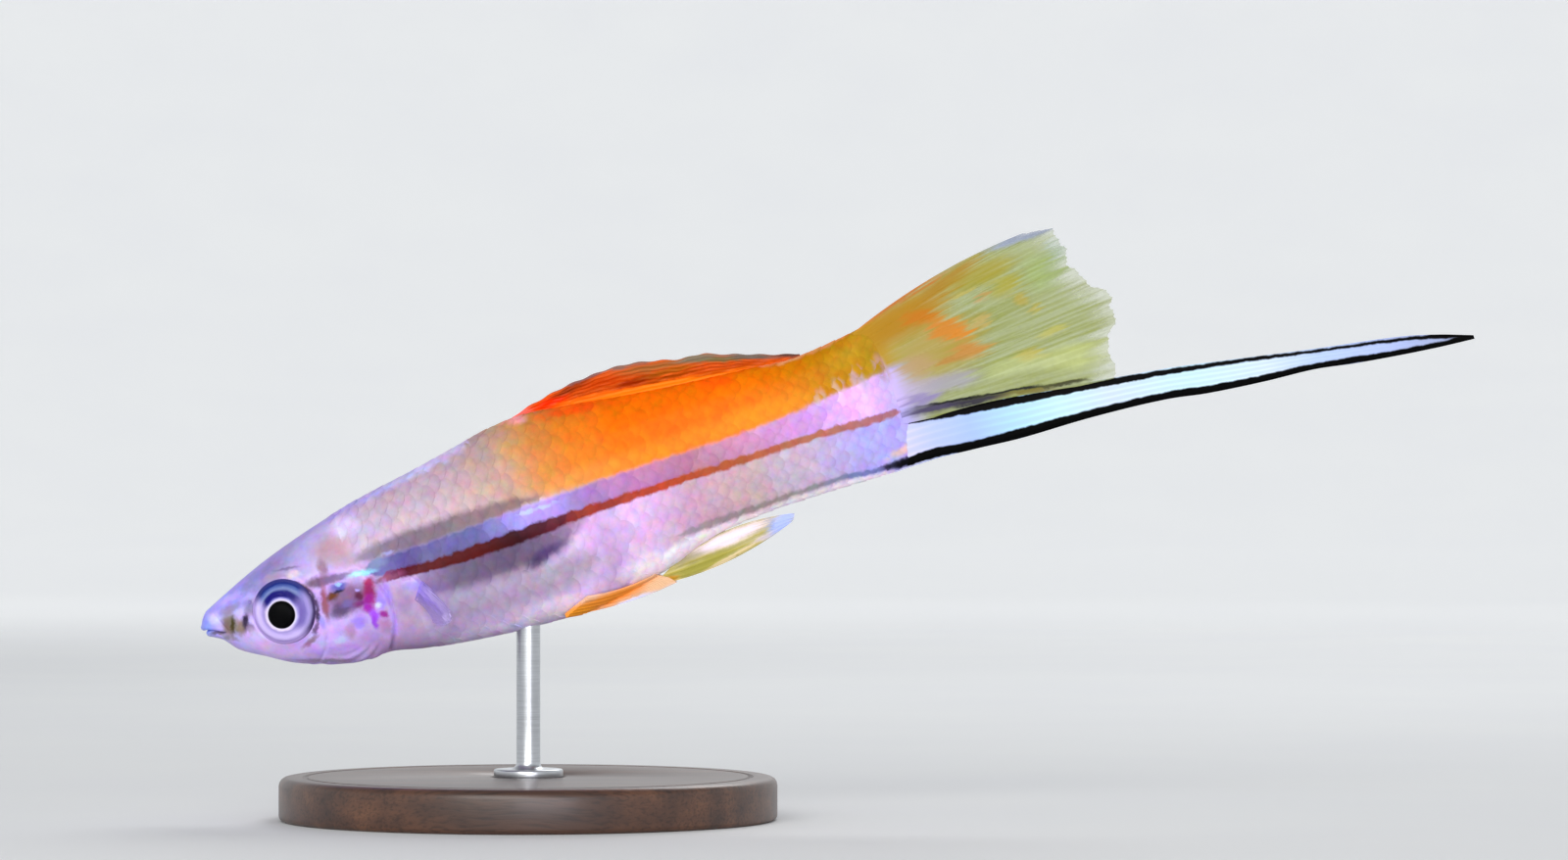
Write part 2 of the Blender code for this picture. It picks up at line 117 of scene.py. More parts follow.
# %% Body curves
FISH_LENGTH = 68.0
back = smooth_line(
    (0, 0.75), (2.2, 1.7), (4.9, 2.85), (7.7, 3.9), (12.6, 5.35), (17.3, 6.45), (22.9, 7.35), (26.5, 8.0),
    (31.1, 8.85), (34, 9.05), (38, 8.6), (44.1, 7.7), (49.7, 7.0), (54.9, 6.5), (59.6, 6.05), (64, 6.4),
    (68, 7.0),
)
belly = smooth_line(
    (0, -1.35), (1.4, -2.1), (2.6, -3.5), (4.7, -4.85), (7.1, -6.3), (9.5, -7.25), (12.3, -8.0),
    (14.0, -8.2), (15.3, -8.1), (19, -8.85), (23.1, -9.5), (28.8, -10.1), (33.5, -10.3), (38.5, -9.75),
    (43.3, -8.8), (46.2, -7.8), (49.5, -7.15), (54.5, -6.9), (58.9, -6.95), (64.9, -7.15), (68, -7.2),
)
half_width = smooth_line(
    (0, 1.45), (1.5, 2.0), (4, 2.85), (8, 3.85), (12, 4.3), (17, 4.6), (23, 4.8), (30, 4.65),
    (38, 4.0), (46, 3.1), (54, 2.55), (61, 2.1), (65, 1.5), (68, 0.6),
)
widest = smooth_line((0, -0.3), (4, -0.9), (8, -1.2), (20, -0.8), (33, -0.6), (46, -0.3), (68, 0.0))
square_above = smooth_line((0, 2.3), (8, 2.7), (16, 2.4), (28, 2.0), (45, 1.9), (68, 2.0))
square_below = smooth_line((0, 2.2), (10, 2.1), (25, 2.2), (40, 2.1), (46, 1.85), (68, 1.9))
SNOUT_ROUND = 1.0
STALK_ROUND = 2.5
COAT_DEPTH = 0.14


def body_point(x, turn, inside=COAT_DEPTH):
    """The body's surface x behind the snout. turn is 0 at the back, half a circle at the belly, and
    positive on the right side. The surface lies inside the solid's by a coat's depth."""
    snout = np.sqrt(1 - np.clip(1 - x / SNOUT_ROUND, 0, 1) ** 2)
    stalk = np.sqrt(1 - np.clip((x - FISH_LENGTH) / STALK_ROUND + 1, 0, 0.999) ** 2)
    across, up = np.sin(turn), np.cos(turn)
    square = np.where(up > 0, square_above(x), square_below(x))
    middle = widest(x)
    reach = np.maximum(np.where(up > 0, back(x) - middle, middle - belly(x)) * snout - inside, 0.01)
    width = np.maximum(half_width(x) * snout - inside, 0.01)
    y = np.sign(across) * np.abs(across) ** (2 / square) * width * stalk
    z = middle + np.sign(up) * np.abs(up) ** (2 / square) * reach
    return np.stack([x + 0 * y, y, z], axis=-1)


for place in (8, 30, 60):
    depth = back(place) - belly(place)
    print(f"{place} mm behind the snout: {depth:.1f} deep, {2 * half_width(place):.1f} wide")

# %% [markdown]
# ## Making pieces
#
# Every piece starts as one of Blender's primitives. Loading leaves the solids selected, and an operator
# acts on all that is selected, so everything is deselected before a primitive is added.

# %% Helpers for pieces


def fresh(operator, name, **settings):
    """A new primitive as the only selected object."""
    bpy.ops.object.select_all(action="DESELECT")
    operator(**settings)
    piece = bpy.context.object
    piece.name = piece.data.name = name
    return piece


def points_of(mesh):
    """The places of a mesh's vertices, one row each."""
    points = np.empty(3 * len(mesh.vertices))
    mesh.vertices.foreach_get("co", points)
    return points.reshape(-1, 3)


def place_points(mesh, points):
    mesh.vertices.foreach_set("co", np.asarray(points, float).ravel())
    mesh.update()


def normals_of(mesh):
    normals = np.empty(3 * len(mesh.vertices))
    mesh.vertices.foreach_get("normal", normals)
    return normals.reshape(-1, 3)


def keep_value(mesh, name, values):
    """Stores one number at each vertex, for the materials to read."""
    attribute = mesh.attributes.new(name, "FLOAT", "POINT")
    attribute.data.foreach_set("value", np.asarray(values, np.float32).ravel())


def drop_maps(mesh):
    """Removes a primitive's own UV map, which no longer fits its shape."""
    while mesh.uv_layers:
        mesh.uv_layers.remove(mesh.uv_layers[0])


def face_outwards(piece):
    bpy.ops.object.select_all(action="DESELECT")
    bpy.context.view_layer.objects.active = piece
    piece.select_set(True)
    bpy.ops.object.mode_set(mode="EDIT")
    bpy.ops.mesh.select_all(action="SELECT")
    bpy.ops.mesh.normals_make_consistent(inside=False)
    bpy.ops.object.mode_set(mode="OBJECT")


def finish_piece(piece, slot, material, *nodes):
    """Gives a piece its material, hangs it on the root, and hides the solids it stands for."""
    piece.data.materials.clear()
    piece.data.materials.append(material)
    bpy.ops.object.select_all(action="DESELECT")
    bpy.context.view_layer.objects.active = piece
    piece.select_set(True)
    bpy.ops.object.shade_smooth_by_angle(angle=math.radians(50))
    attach(piece, "root")
    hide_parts(*nodes)
    print(piece.name, "has", sum(len(face.vertices) - 2 for face in piece.data.polygons), "triangles")


# %% [markdown]
# ## The skin
#
# The real fish has one skin over head, trunk and tail stalk. A UV sphere already has what it needs: rings
# for the cross sections, a pole for the snout and one for the end of the tail stalk. Each vertex's height
# on the sphere becomes a distance behind the snout, with the rings closest where the head has its details,
# and its longitude becomes the turn around the body.

# %% Skin base
SKIN_SIDES = 216
SKIN_RINGS = 430
POLE = 0.999999
along_skin = smooth_line(
    (0, 0), (0.03, 0.25), (0.08, 1.2), (0.16, 4), (0.42, 18.5), (0.5, 25), (1, FISH_LENGTH),
)

skin = fresh(
    bpy.ops.mesh.primitive_uv_sphere_add, "skin", segments=SKIN_SIDES, ring_count=SKIN_RINGS, radius=1
)
sphere = points_of(skin.data)
skin_x = along_skin(np.arccos(np.clip(sphere[:, 2], -1, 1)) / math.pi)
skin_turn = np.arctan2(sphere[:, 1], sphere[:, 0])
start_points = body_point(skin_x, skin_turn)
start_points[np.abs(sphere[:, 2]) > POLE, 1:] = (0, widest(0))
place_points(skin.data, start_points)
skin_normals = normals_of(skin.data)
if (skin_normals[:, 2] * points_of(skin.data)[:, 2]).sum() < 0:
    skin_normals = -skin_normals

# %% [markdown]
# ## The form of the head
#
# On the side of the head are the orbit with its soft rim, two nostrils, the mouth with its lips, the bony
# edge of the cheek, and the gill cover, whose free edge stands a little proud with a dark slit behind it.
# Each is a small rise or fall along the surface normal, drawn as a function of its distance from a named
# line or point in the side view, so both sides of the fish get the same.

# %% Places on the head
EYE = (7.9, -1.33)
EYE_RADIUS = 2.86
GILL_CENTRE = (12.2, -3.9)
GILL_RADIUS = 5.2
NOSTRILS = ((4.15, -0.85, 0.2, 0.28), (5.15, 0.45, 0.15, 0.2))
# The pores of the lateral line: a row over the eye and one behind it.
PORES = [(4.6 + 1.15 * k, 1.55 + 0.34 * k + 0.12 * (k % 2)) for k in range(6)]
PORES += [(11.9 - 0.12 * k * k, -1.0 - 1.35 * k) for k in range(4)]
MOUTH_CORNER = 1.9
gape = smooth_line((0, -0.78), (0.6, -0.86), (1.3, -1.15), (MOUTH_CORNER, -1.5))
maxilla = smooth_line((-2.3, 2.45), (-1.6, 2.35), (-0.6, 2.0), (0.4, 1.55), (1.1, 1.3))
cheek_edge = smooth_line((-7.4, 8.4), (-6.6, 9.6), (-5.4, 10.7), (-3.5, 11.4), (-1, 11.6), (0.6, 11.7))


def distance_to(x, z, centre):
    return np.hypot(x - centre[0], z - centre[1])


def mouth_relief(x, z):
    """The gape between two rolled lips, and the groove behind the upper jaw's bone."""
    off = z - gape(x)
    at_mouth = ramp(x, MOUTH_CORNER + 0.35, MOUTH_CORNER - 0.25)
    lips = 0.16 * (ridge(off - 0.36, 0.24) + ridge(off + 0.34, 0.22))
    slit = -0.42 * ridge(off, 0.075)
    fold = -0.10 * ridge(x - maxilla(z), 0.13) * ramp(z, 1.3, 0.6) * ramp(z, -2.5, -2.0)
    return at_mouth * (lips + slit) + fold


def eye_relief(x, z):
    """The orbit holds the eyeball, inside a soft raised rim."""
    away = distance_to(x, z, EYE)
    socket = -1.3 * ramp(away, EYE_RADIUS + 0.06, EYE_RADIUS - 0.34)
    rim = 0.07 * ridge(away - EYE_RADIUS - 0.24, 0.22) * ramp(away, EYE_RADIUS - 0.05, EYE_RADIUS + 0.15)
    furrow = -0.1 * ridge(away - EYE_RADIUS - 0.42, 0.2) * ramp(x, EYE[0] + 0.6, EYE[0] + 2.2)
    return socket + rim + furrow


def gill_relief(x, z):
    """The gill cover swells towards its free edge, and the gill slit is behind it."""
    away = distance_to(x, z, GILL_CENTRE) - GILL_RADIUS
    bearing = np.degrees(np.arctan2(z - GILL_CENTRE[1], x - GILL_CENTRE[0]))
    open_edge = ramp(bearing, 62, 40) * ramp(bearing, -125, -100)
    cover = 0.2 * ramp(away, -3.4, -0.2) * ramp(away, 0.16, -0.12)
    slit = -0.2 * ridge(away - 0.2, 0.19)
    return open_edge * (cover + slit)


def throat_relief(x, z):
    """Fine folds of the gill membrane run under the throat."""
    away = distance_to(x, z, GILL_CENTRE) - GILL_RADIUS
    where = ramp(x, 5.5, 8) * ramp(x, 16.0, 14.5) * ramp(z, -6.3, -7.2)
    return 0.05 * where * np.cos(away * 2 * math.pi / 0.62)


def head_relief(x, y, z):
    side = ramp(np.abs(y), 0.5, 1.2)
    pits = sum(-0.3 * ridge(distance_to(x, z, at[:2]), at[2]) for at in NOSTRILS)
    nostril_rims = sum(0.06 * ridge(distance_to(x, z, at[:2]) - at[3], 0.1) for at in NOSTRILS)
    cheek = -0.07 * ridge(x - cheek_edge(z), 0.16) * ramp(z, 1.2, 0.2) * ramp(z, -7.6, -7.0)
    pores = -0.09 * sum(ridge(distance_to(x, z, at), 0.11) for at in PORES)
    sides = eye_relief(x, z) + gill_relief(x, z) + pits + nostril_rims + cheek + pores
    return side * sides + mouth_relief(x, z) + throat_relief(x, z)


def body_relief(x, y, z):
    """The furrow along the flank, the fleshy foot of the pectoral fin and the keel of the tail stalk."""
    flank = -0.06 * ridge(z + 1.55, 0.5) * ramp(x, 19, 24) * ramp(x, 67, 60)
    fin_foot = 0.28 * ridge(distance_to(x, z, (19.6, -3.2)), 0.75) * ramp(np.abs(y), 2, 3)
    keel = -0.28 * ridge(z - belly(x) - 1.0, 0.55) * ramp(x, 44, 50) * ramp(x, 68, 64)
    return flank + fin_foot + keel


# %% Shape the skin
bare = points_of(skin.data)
relief = head_relief(*bare.T) + body_relief(*bare.T)
shaped = bare + skin_normals * relief[:, None]
place_points(skin.data, to_world(shaped))
face_outwards(skin)
print("deepest fold", round(relief.min(), 2), "mm, highest", round(relief.max(), 2), "mm")

# %% [markdown]
# ## An unwrap of the skin
#
# The skin gets a UV map named OFBake, through which its colours can be baked. The body is unrolled like a
# label
# from a bottle: cut along the belly, with its length as U and the way around as V, in their true
# proportions.

# %% Unroll the skin
UNROLL_STEPS = 60
MAP_LENGTH = 80.0
MAP_START = 6.0
NEAR_THE_CUT = 3.1
ON_THE_CUT = 3.14


def half_girth(x, turn):
    """The way around the body in millimetres, from the back to each turn."""
    share = np.linspace(0, 1, UNROLL_STEPS)[:, None]
    ring = body_point(np.ravel(x)[None], share * np.ravel(turn)[None])
    return np.hypot(*np.moveaxis(np.diff(ring[..., 1:], axis=0), -1, 0)).sum(0).reshape(np.shape(x))


def unrolled(x, turn):
    """UV of a place on the skin."""
    girth = half_girth(x, np.abs(turn))
    return np.stack([(MAP_START + x) / MAP_LENGTH, 0.5 + np.sign(turn) * girth / MAP_LENGTH], axis=-1)


def unroll_skin(mesh):
    loops = np.empty(len(mesh.loops), int)
    mesh.loops.foreach_get("vertex_index", loops)
    starts = np.empty(len(mesh.polygons), int)
    sizes = np.empty(len(mesh.polygons), int)
    mesh.polygons.foreach_get("loop_start", starts)
    mesh.polygons.foreach_get("loop_total", sizes)
    face = np.repeat(np.arange(len(starts)), sizes)
    turn = skin_turn[loops]
    # A corner on the cut belongs to both sides, so it takes the side of the rest of its face.
    unsure = (np.abs(sphere[loops, 2]) > POLE) | (np.abs(turn) > NEAR_THE_CUT)
    side = np.sign(np.bincount(face, np.where(unsure, 0, turn)))[face]
    turn = np.where(np.abs(turn) > ON_THE_CUT, side * math.pi, turn)
    uv = unrolled(skin_x[loops], turn)
    layer = mesh.uv_layers.new(name="OFBake")
    layer.data.foreach_set("uv", uv.astype(np.float32).ravel())
    print("the unrolled skin spans", uv.min(0).round(3), "to", uv.max(0).round(3))


drop_maps(skin.data)
unroll_skin(skin.data)

# %% [markdown]
# ## The scales
#
# A swordtail has about 27 scales along its flank and 10 or 11 rows on each side, and it is smooth to the
# touch: each scale is a thin round plate, rooted under the one before it, with only its hind edge free. One
# plate is modelled: a grid rounded into a fan and given a thickness. Copies of it are laid over the skin in
# staggered rows, and each copy's points follow the body's surface, so that no scale pokes out or floats.

# %% One scale
SCALE_FRONT = 1.9
SCALE_REAR = 1.35
SCALE_THICK = 0.045
# s runs along the scale, from -1 at its root to 1 at its rear, and t across it, also from -1 to 1.
scale = fresh(bpy.ops.mesh.primitive_grid_add, "scale", x_subdivisions=5, y_subdivisions=4, size=2)
flat = points_of(scale.data)
s, t = flat[:, 0], flat[:, 1]
behind = np.sign(np.clip(s, 0, 1)) * np.clip(s, 0, 1) ** 0.75
flat[:, 0] = np.where(s > 0, SCALE_REAR * behind * np.sqrt(1 - t**2 / 2), SCALE_FRONT * s)
flat[:, 1] = np.where(s > 0, t * np.sqrt(1 - behind**2 / 2), t * (1 - 0.1 * s**2))
place_points(scale.data, flat)
bpy.ops.object.mode_set(mode="EDIT")
bpy.ops.mesh.select_all(action="SELECT")
bpy.ops.mesh.extrude_region_move(TRANSFORM_OT_translate={"value": (0, 0, 1)})
bpy.ops.mesh.normals_make_consistent(inside=False)
bpy.ops.object.mode_set(mode="OBJECT")
scale_shape = points_of(scale.data)
scale_faces = [tuple(face.vertices) for face in scale.data.polygons]
bpy.data.objects.remove(scale)
print("one scale has", len(scale_faces), "faces")

# %% [markdown]
# ## Rows of scales
#
# The number of rows stays the same down the whole body, as on the real fish, so the scales shrink towards
# the tail stalk. They begin behind a slanting line from the nape to the gill slit.

# %% Rows of roots
SCALE_ROWS = 11
scale_step = smooth_line((12, 0.7), (18, 0.86), (35, 0.92), (50, 0.82), (62, 0.7), (70, 0.62))
first_scale = smooth_line((-11, 19.5), (-4, 19.2), (0.5, 17.6), (3, 15.5), (5, 13.6), (9, 12.6))
FIRST_COLUMN = 12.5
TURN_STEPS = 181
random = np.random.default_rng(7)


def turn_at_share(x, share):
    """The turn at a share of the way from the back to the belly, measured along the skin."""
    turns = np.linspace(0, math.pi, TURN_STEPS)
    ring = body_point(np.full(TURN_STEPS, x), turns)
    travelled = np.concatenate([[0], np.cumsum(np.hypot(*np.diff(ring[:, 1:], axis=0).T))])
    return np.interp(share, travelled / travelled[-1], turns)


def scale_roots():
    """(x, share of the way round, side, column) of every scale."""
    roots = []
    x = FIRST_COLUMN
    column = 0
    while x < FISH_LENGTH + 0.6:
        shares = (np.arange(SCALE_ROWS + 1) + 0.5 * (column % 2)) / SCALE_ROWS
        for share in shares[shares <= 1.0]:
            turn = turn_at_share(min(x, FISH_LENGTH - 0.5), share)
            height = body_point(min(x, FISH_LENGTH - 0.5), turn)[2]
            if x < first_scale(height):
                continue
            for side in (-1, 1):
                # A scale on the middle of the back or the belly belongs to both sides and is laid once.
                if side > 0 and (share < 1e-6 or share > 1 - 1e-6):
                    continue
                roots.append((x, share, side, column))
        x += scale_step(x)
        column += 1
    return np.array(roots)


roots = scale_roots()
print("scales:", len(roots), "in", int(roots[-1, 3]) + 1, "columns")

# %% [markdown]
# Each point of each scale needs the body's surface under it. Working out the girth at every point would be
# slow, so it is worked out once on a fine table of turns along the body, and read from there. A share below
# 0 or above 1 has crossed the back or the belly and belongs to the other side.

# %% The surface under the scales
TABLE_START = 11
TABLE_COLUMNS = 300


def surface(x, share, side):
    """Points and outward normals of the skin at shares of the way round."""
    turns = np.linspace(0, math.pi, TURN_STEPS)
    columns = np.linspace(TABLE_START, FISH_LENGTH, TABLE_COLUMNS)
    ring = body_point(columns[:, None], turns[None, :])
    step = np.hypot(*np.moveaxis(np.diff(ring[..., 1:], axis=1), -1, 0))
    travelled = np.concatenate([np.zeros((len(columns), 1)), np.cumsum(step, axis=1)], axis=1)
    travelled /= travelled[:, -1:]
    grid = np.linspace(0, 1, TURN_STEPS)
    turn_grid = np.stack([np.interp(grid, row, turns) for row in travelled])
    over = np.abs(share) > 1
    crossed = np.where(share < 0, -1, 1) * np.where(over, -1, 1)
    folded = np.where(over, 2 - np.abs(share), np.abs(share))
    at = np.clip((x - columns[0]) / (columns[1] - columns[0]), 0, len(columns) - 1.001)
    low = at.astype(int)
    part = folded * (TURN_STEPS - 1)
    left = np.clip(part.astype(int), 0, TURN_STEPS - 2)
    fx, fy = at - low, part - left
    turn = (turn_grid[low, left] * (1 - fx) * (1 - fy) + turn_grid[low + 1, left] * fx * (1 - fy)
            + turn_grid[low, left + 1] * (1 - fx) * fy + turn_grid[low + 1, left + 1] * fx * fy)
    turn = turn * side * crossed
    inside_x = np.clip(x, 0, FISH_LENGTH - 0.02)
    small = 0.02
    here = body_point(inside_x, turn)
    ahead = body_point(np.clip(inside_x + small, 0, FISH_LENGTH), turn) - body_point(inside_x - small, turn)
    around = body_point(inside_x, turn + small) - body_point(inside_x, turn - small)
    normal = np.cross(around, ahead)
    normal /= np.linalg.norm(normal, axis=-1, keepdims=True) + 1e-12
    outward = np.stack([0 * turn, np.sin(turn), np.cos(turn)], axis=-1)
    normal *= np.sign((normal * outward).sum(-1, keepdims=True) + 1e-9)
    here[..., 0] += x - inside_x
    return here, normal


# %% [markdown]
# A scale's root lies under the skin's surface and its rear stands up a few hundredths of a millimetre, with
# a crown along its middle. The scales of the first rows have deeper roots, so that bare skin runs into them
# without a step, and those at the tail lie flat. All sizes are in millimetres.

# %% Lay the scales
ROOT_UNDER = 0.03
REAR_UP = 0.075
CROWN = 0.025
UNEVEN = 0.008
FIRST_ROOT_UNDER = 0.25
SIZE_CHANGE = 0.05
HALF_WIDTH_IN_ROWS = 0.64


def lay_scales(shape, roots):
    """All scales' points in the fish's frame."""
    x0, share0, side = roots[:, 0, None], roots[:, 1, None], roots[:, 2, None]
    step = scale_step(x0)
    size = step * (1 + SIZE_CHANGE * random.standard_normal(x0.shape))
    s, t, up = shape.T
    x = x0 + size * s[None]
    share = share0 + HALF_WIDTH_IN_ROWS / SCALE_ROWS * t[None]
    here, normal = surface(x, share, np.broadcast_to(side, x.shape))
    slope = ramp(s[None], -SCALE_FRONT, SCALE_REAR)
    lift = -ROOT_UNDER + REAR_UP * slope + CROWN * (1 - t[None] ** 2) * slope
    lift = lift + UNEVEN * random.standard_normal(x0.shape) * slope
    lift = lift * (0.75 + 0.25 * ramp(x0, 14, 22)) * ramp(x0, 69, 61)
    lift = lift - FIRST_ROOT_UNDER * (1 - slope) ** 2 * ramp(x0, 21, 19)
    lift = lift - SCALE_THICK * (1 - up[None])
    return here + normal * lift[..., None]


s, t, _ = scale_shape.T
points = lay_scales(scale_shape, roots)
count, per = points.shape[:2]
faces = [tuple(corner + k * per for corner in face) for k in range(count) for face in scale_faces]
mesh = bpy.data.meshes.new("scales")
mesh.from_pydata(to_world(points).reshape(-1, 3).tolist(), [], faces)
scales = bpy.data.objects.new("scales", mesh)
bpy.context.scene.collection.objects.link(scales)
keep_value(mesh, "rim", np.tile(ramp(np.hypot(np.maximum(s, 0) / SCALE_REAR, t), 0.45, 1.0), count))
keep_value(mesh, "tint", np.repeat(random.random(count), per))
centre = mesh.attributes.new("centre", "FLOAT_VECTOR", "POINT")
middles = np.repeat(points.mean(axis=1), per, axis=0)
centre.data.foreach_set("vector", middles.astype(np.float32).ravel())
face_outwards(scales)

# %% [markdown]
# Each scale is also given its own patch of the OFBake map, at its root's place on the unrolled skin. A
# scale is up to 3 mm long and its colour changes from root to rear, so its patch is as large as fits: three
# quarters of the way to the next column. That leaves a gap, and no two patches overlap.

# %% Map the scales
PATCH = 0.75 / MAP_LENGTH
root_turn = np.array([turn_at_share(min(x, FISH_LENGTH - 0.5), share) for x, share, _, _ in roots])
root_uv = unrolled(roots[:, 0], roots[:, 2] * root_turn)
corner = np.empty(len(mesh.loops), int)
mesh.loops.foreach_get("vertex_index", corner)
reach = np.repeat(scale_step(roots[:, 0]) * PATCH / 2, per)[:, None]
patch = np.stack([np.tile(s, count) / SCALE_FRONT, np.tile(t, count)], axis=-1) * reach
layer = mesh.uv_layers.new(name="OFBake")
layer.data.foreach_set("uv", (np.repeat(root_uv, per, axis=0) + patch)[corner].astype(np.float32).ravel())
print("a scale's patch is up to", round(2 * float(reach.max()), 4), "wide")

# %% [markdown]
# ## Making materials
#
# Each material is a tree of nodes. One small function adds a node, sets it up and links its inputs. Colours
# are written as sRGB hex codes, as a colour picker shows them, and turned to the linear values that light
# works in.

# %% Helpers for materials


def linear(code, alpha=1.0):
    """The linear colour of an sRGB hex code."""
    shares = [int(code[k : k + 2], 16) / 255 for k in (0, 2, 4)]
    lights = [share / 12.92 if share <= 0.04045 else ((share + 0.055) / 1.055) ** 2.4 for share in shares]
    return (*lights, alpha)


def new_material(name):
    material = bpy.data.materials.new(name)
    material.use_nodes = True
    material.node_tree.nodes.clear()
    return material


def add(material, kind, inputs=None, **settings):
    """Adds a node. inputs holds a value, or another node's output, for each input's name or number."""
    node = material.node_tree.nodes.new("ShaderNode" + kind)
    for name, value in settings.items():
        setattr(node, name, value)
    for name, value in (inputs or {}).items():
        if isinstance(value, bpy.types.NodeSocket):
            material.node_tree.links.new(value, node.inputs[name])
        else:
            node.inputs[name].default_value = value
    return node


def set_ramp(node, *stops):
    """Gives a Color Ramp node its stops, each a place and an sRGB hex code."""
    elements = node.color_ramp.elements
    while len(elements) < len(stops):
        elements.new(0.5)
    for element, (place, code) in zip(elements, stops):
        element.position = place
        element.color = linear(code)


def set_curve(node, points):
    """Gives a Float Curve node its points."""
    curve = node.mapping.curves[0]
    while len(curve.points) < len(points):
        curve.points.new(0.5, 0.5)
    for point, place in zip(curve.points, points):
        point.location = place
        point.handle_type = "AUTO_CLAMPED"
    node.mapping.extend = "HORIZONTAL"
    node.mapping.update()


# %% [markdown]
# ## The fish's markings
#
# Skin and scales share one set of markings, so they are painted by one function, layer over layer, in the
# fish's frame in millimetres. A stripe lies between two curves along the body. A patch is a soft ellipse. A
# little noise moves their edges, as pigment cells do, and on the scales each plate carries part of its own
# colour, which makes the edges jagged in the way of the real fish.

# %% Colours along the flank
# The ground colour at each x, as (x, sRGB code).
FLANK_COLOURS = (
    (0, "a8a0e4"), (5, "d0b8fa"), (12, "d4b4ff"), (18, "c2a4da"), (24, "cfbce6"), (34, "e8ccfc"),
    (38, "c8a6d6"), (41, "dfbbec"), (46, "cba3c0"), (52, "c5a8ae"), (58, "c3aecb"), (64, "aaa2ec"),
    (68, "b2a6ee"),
)

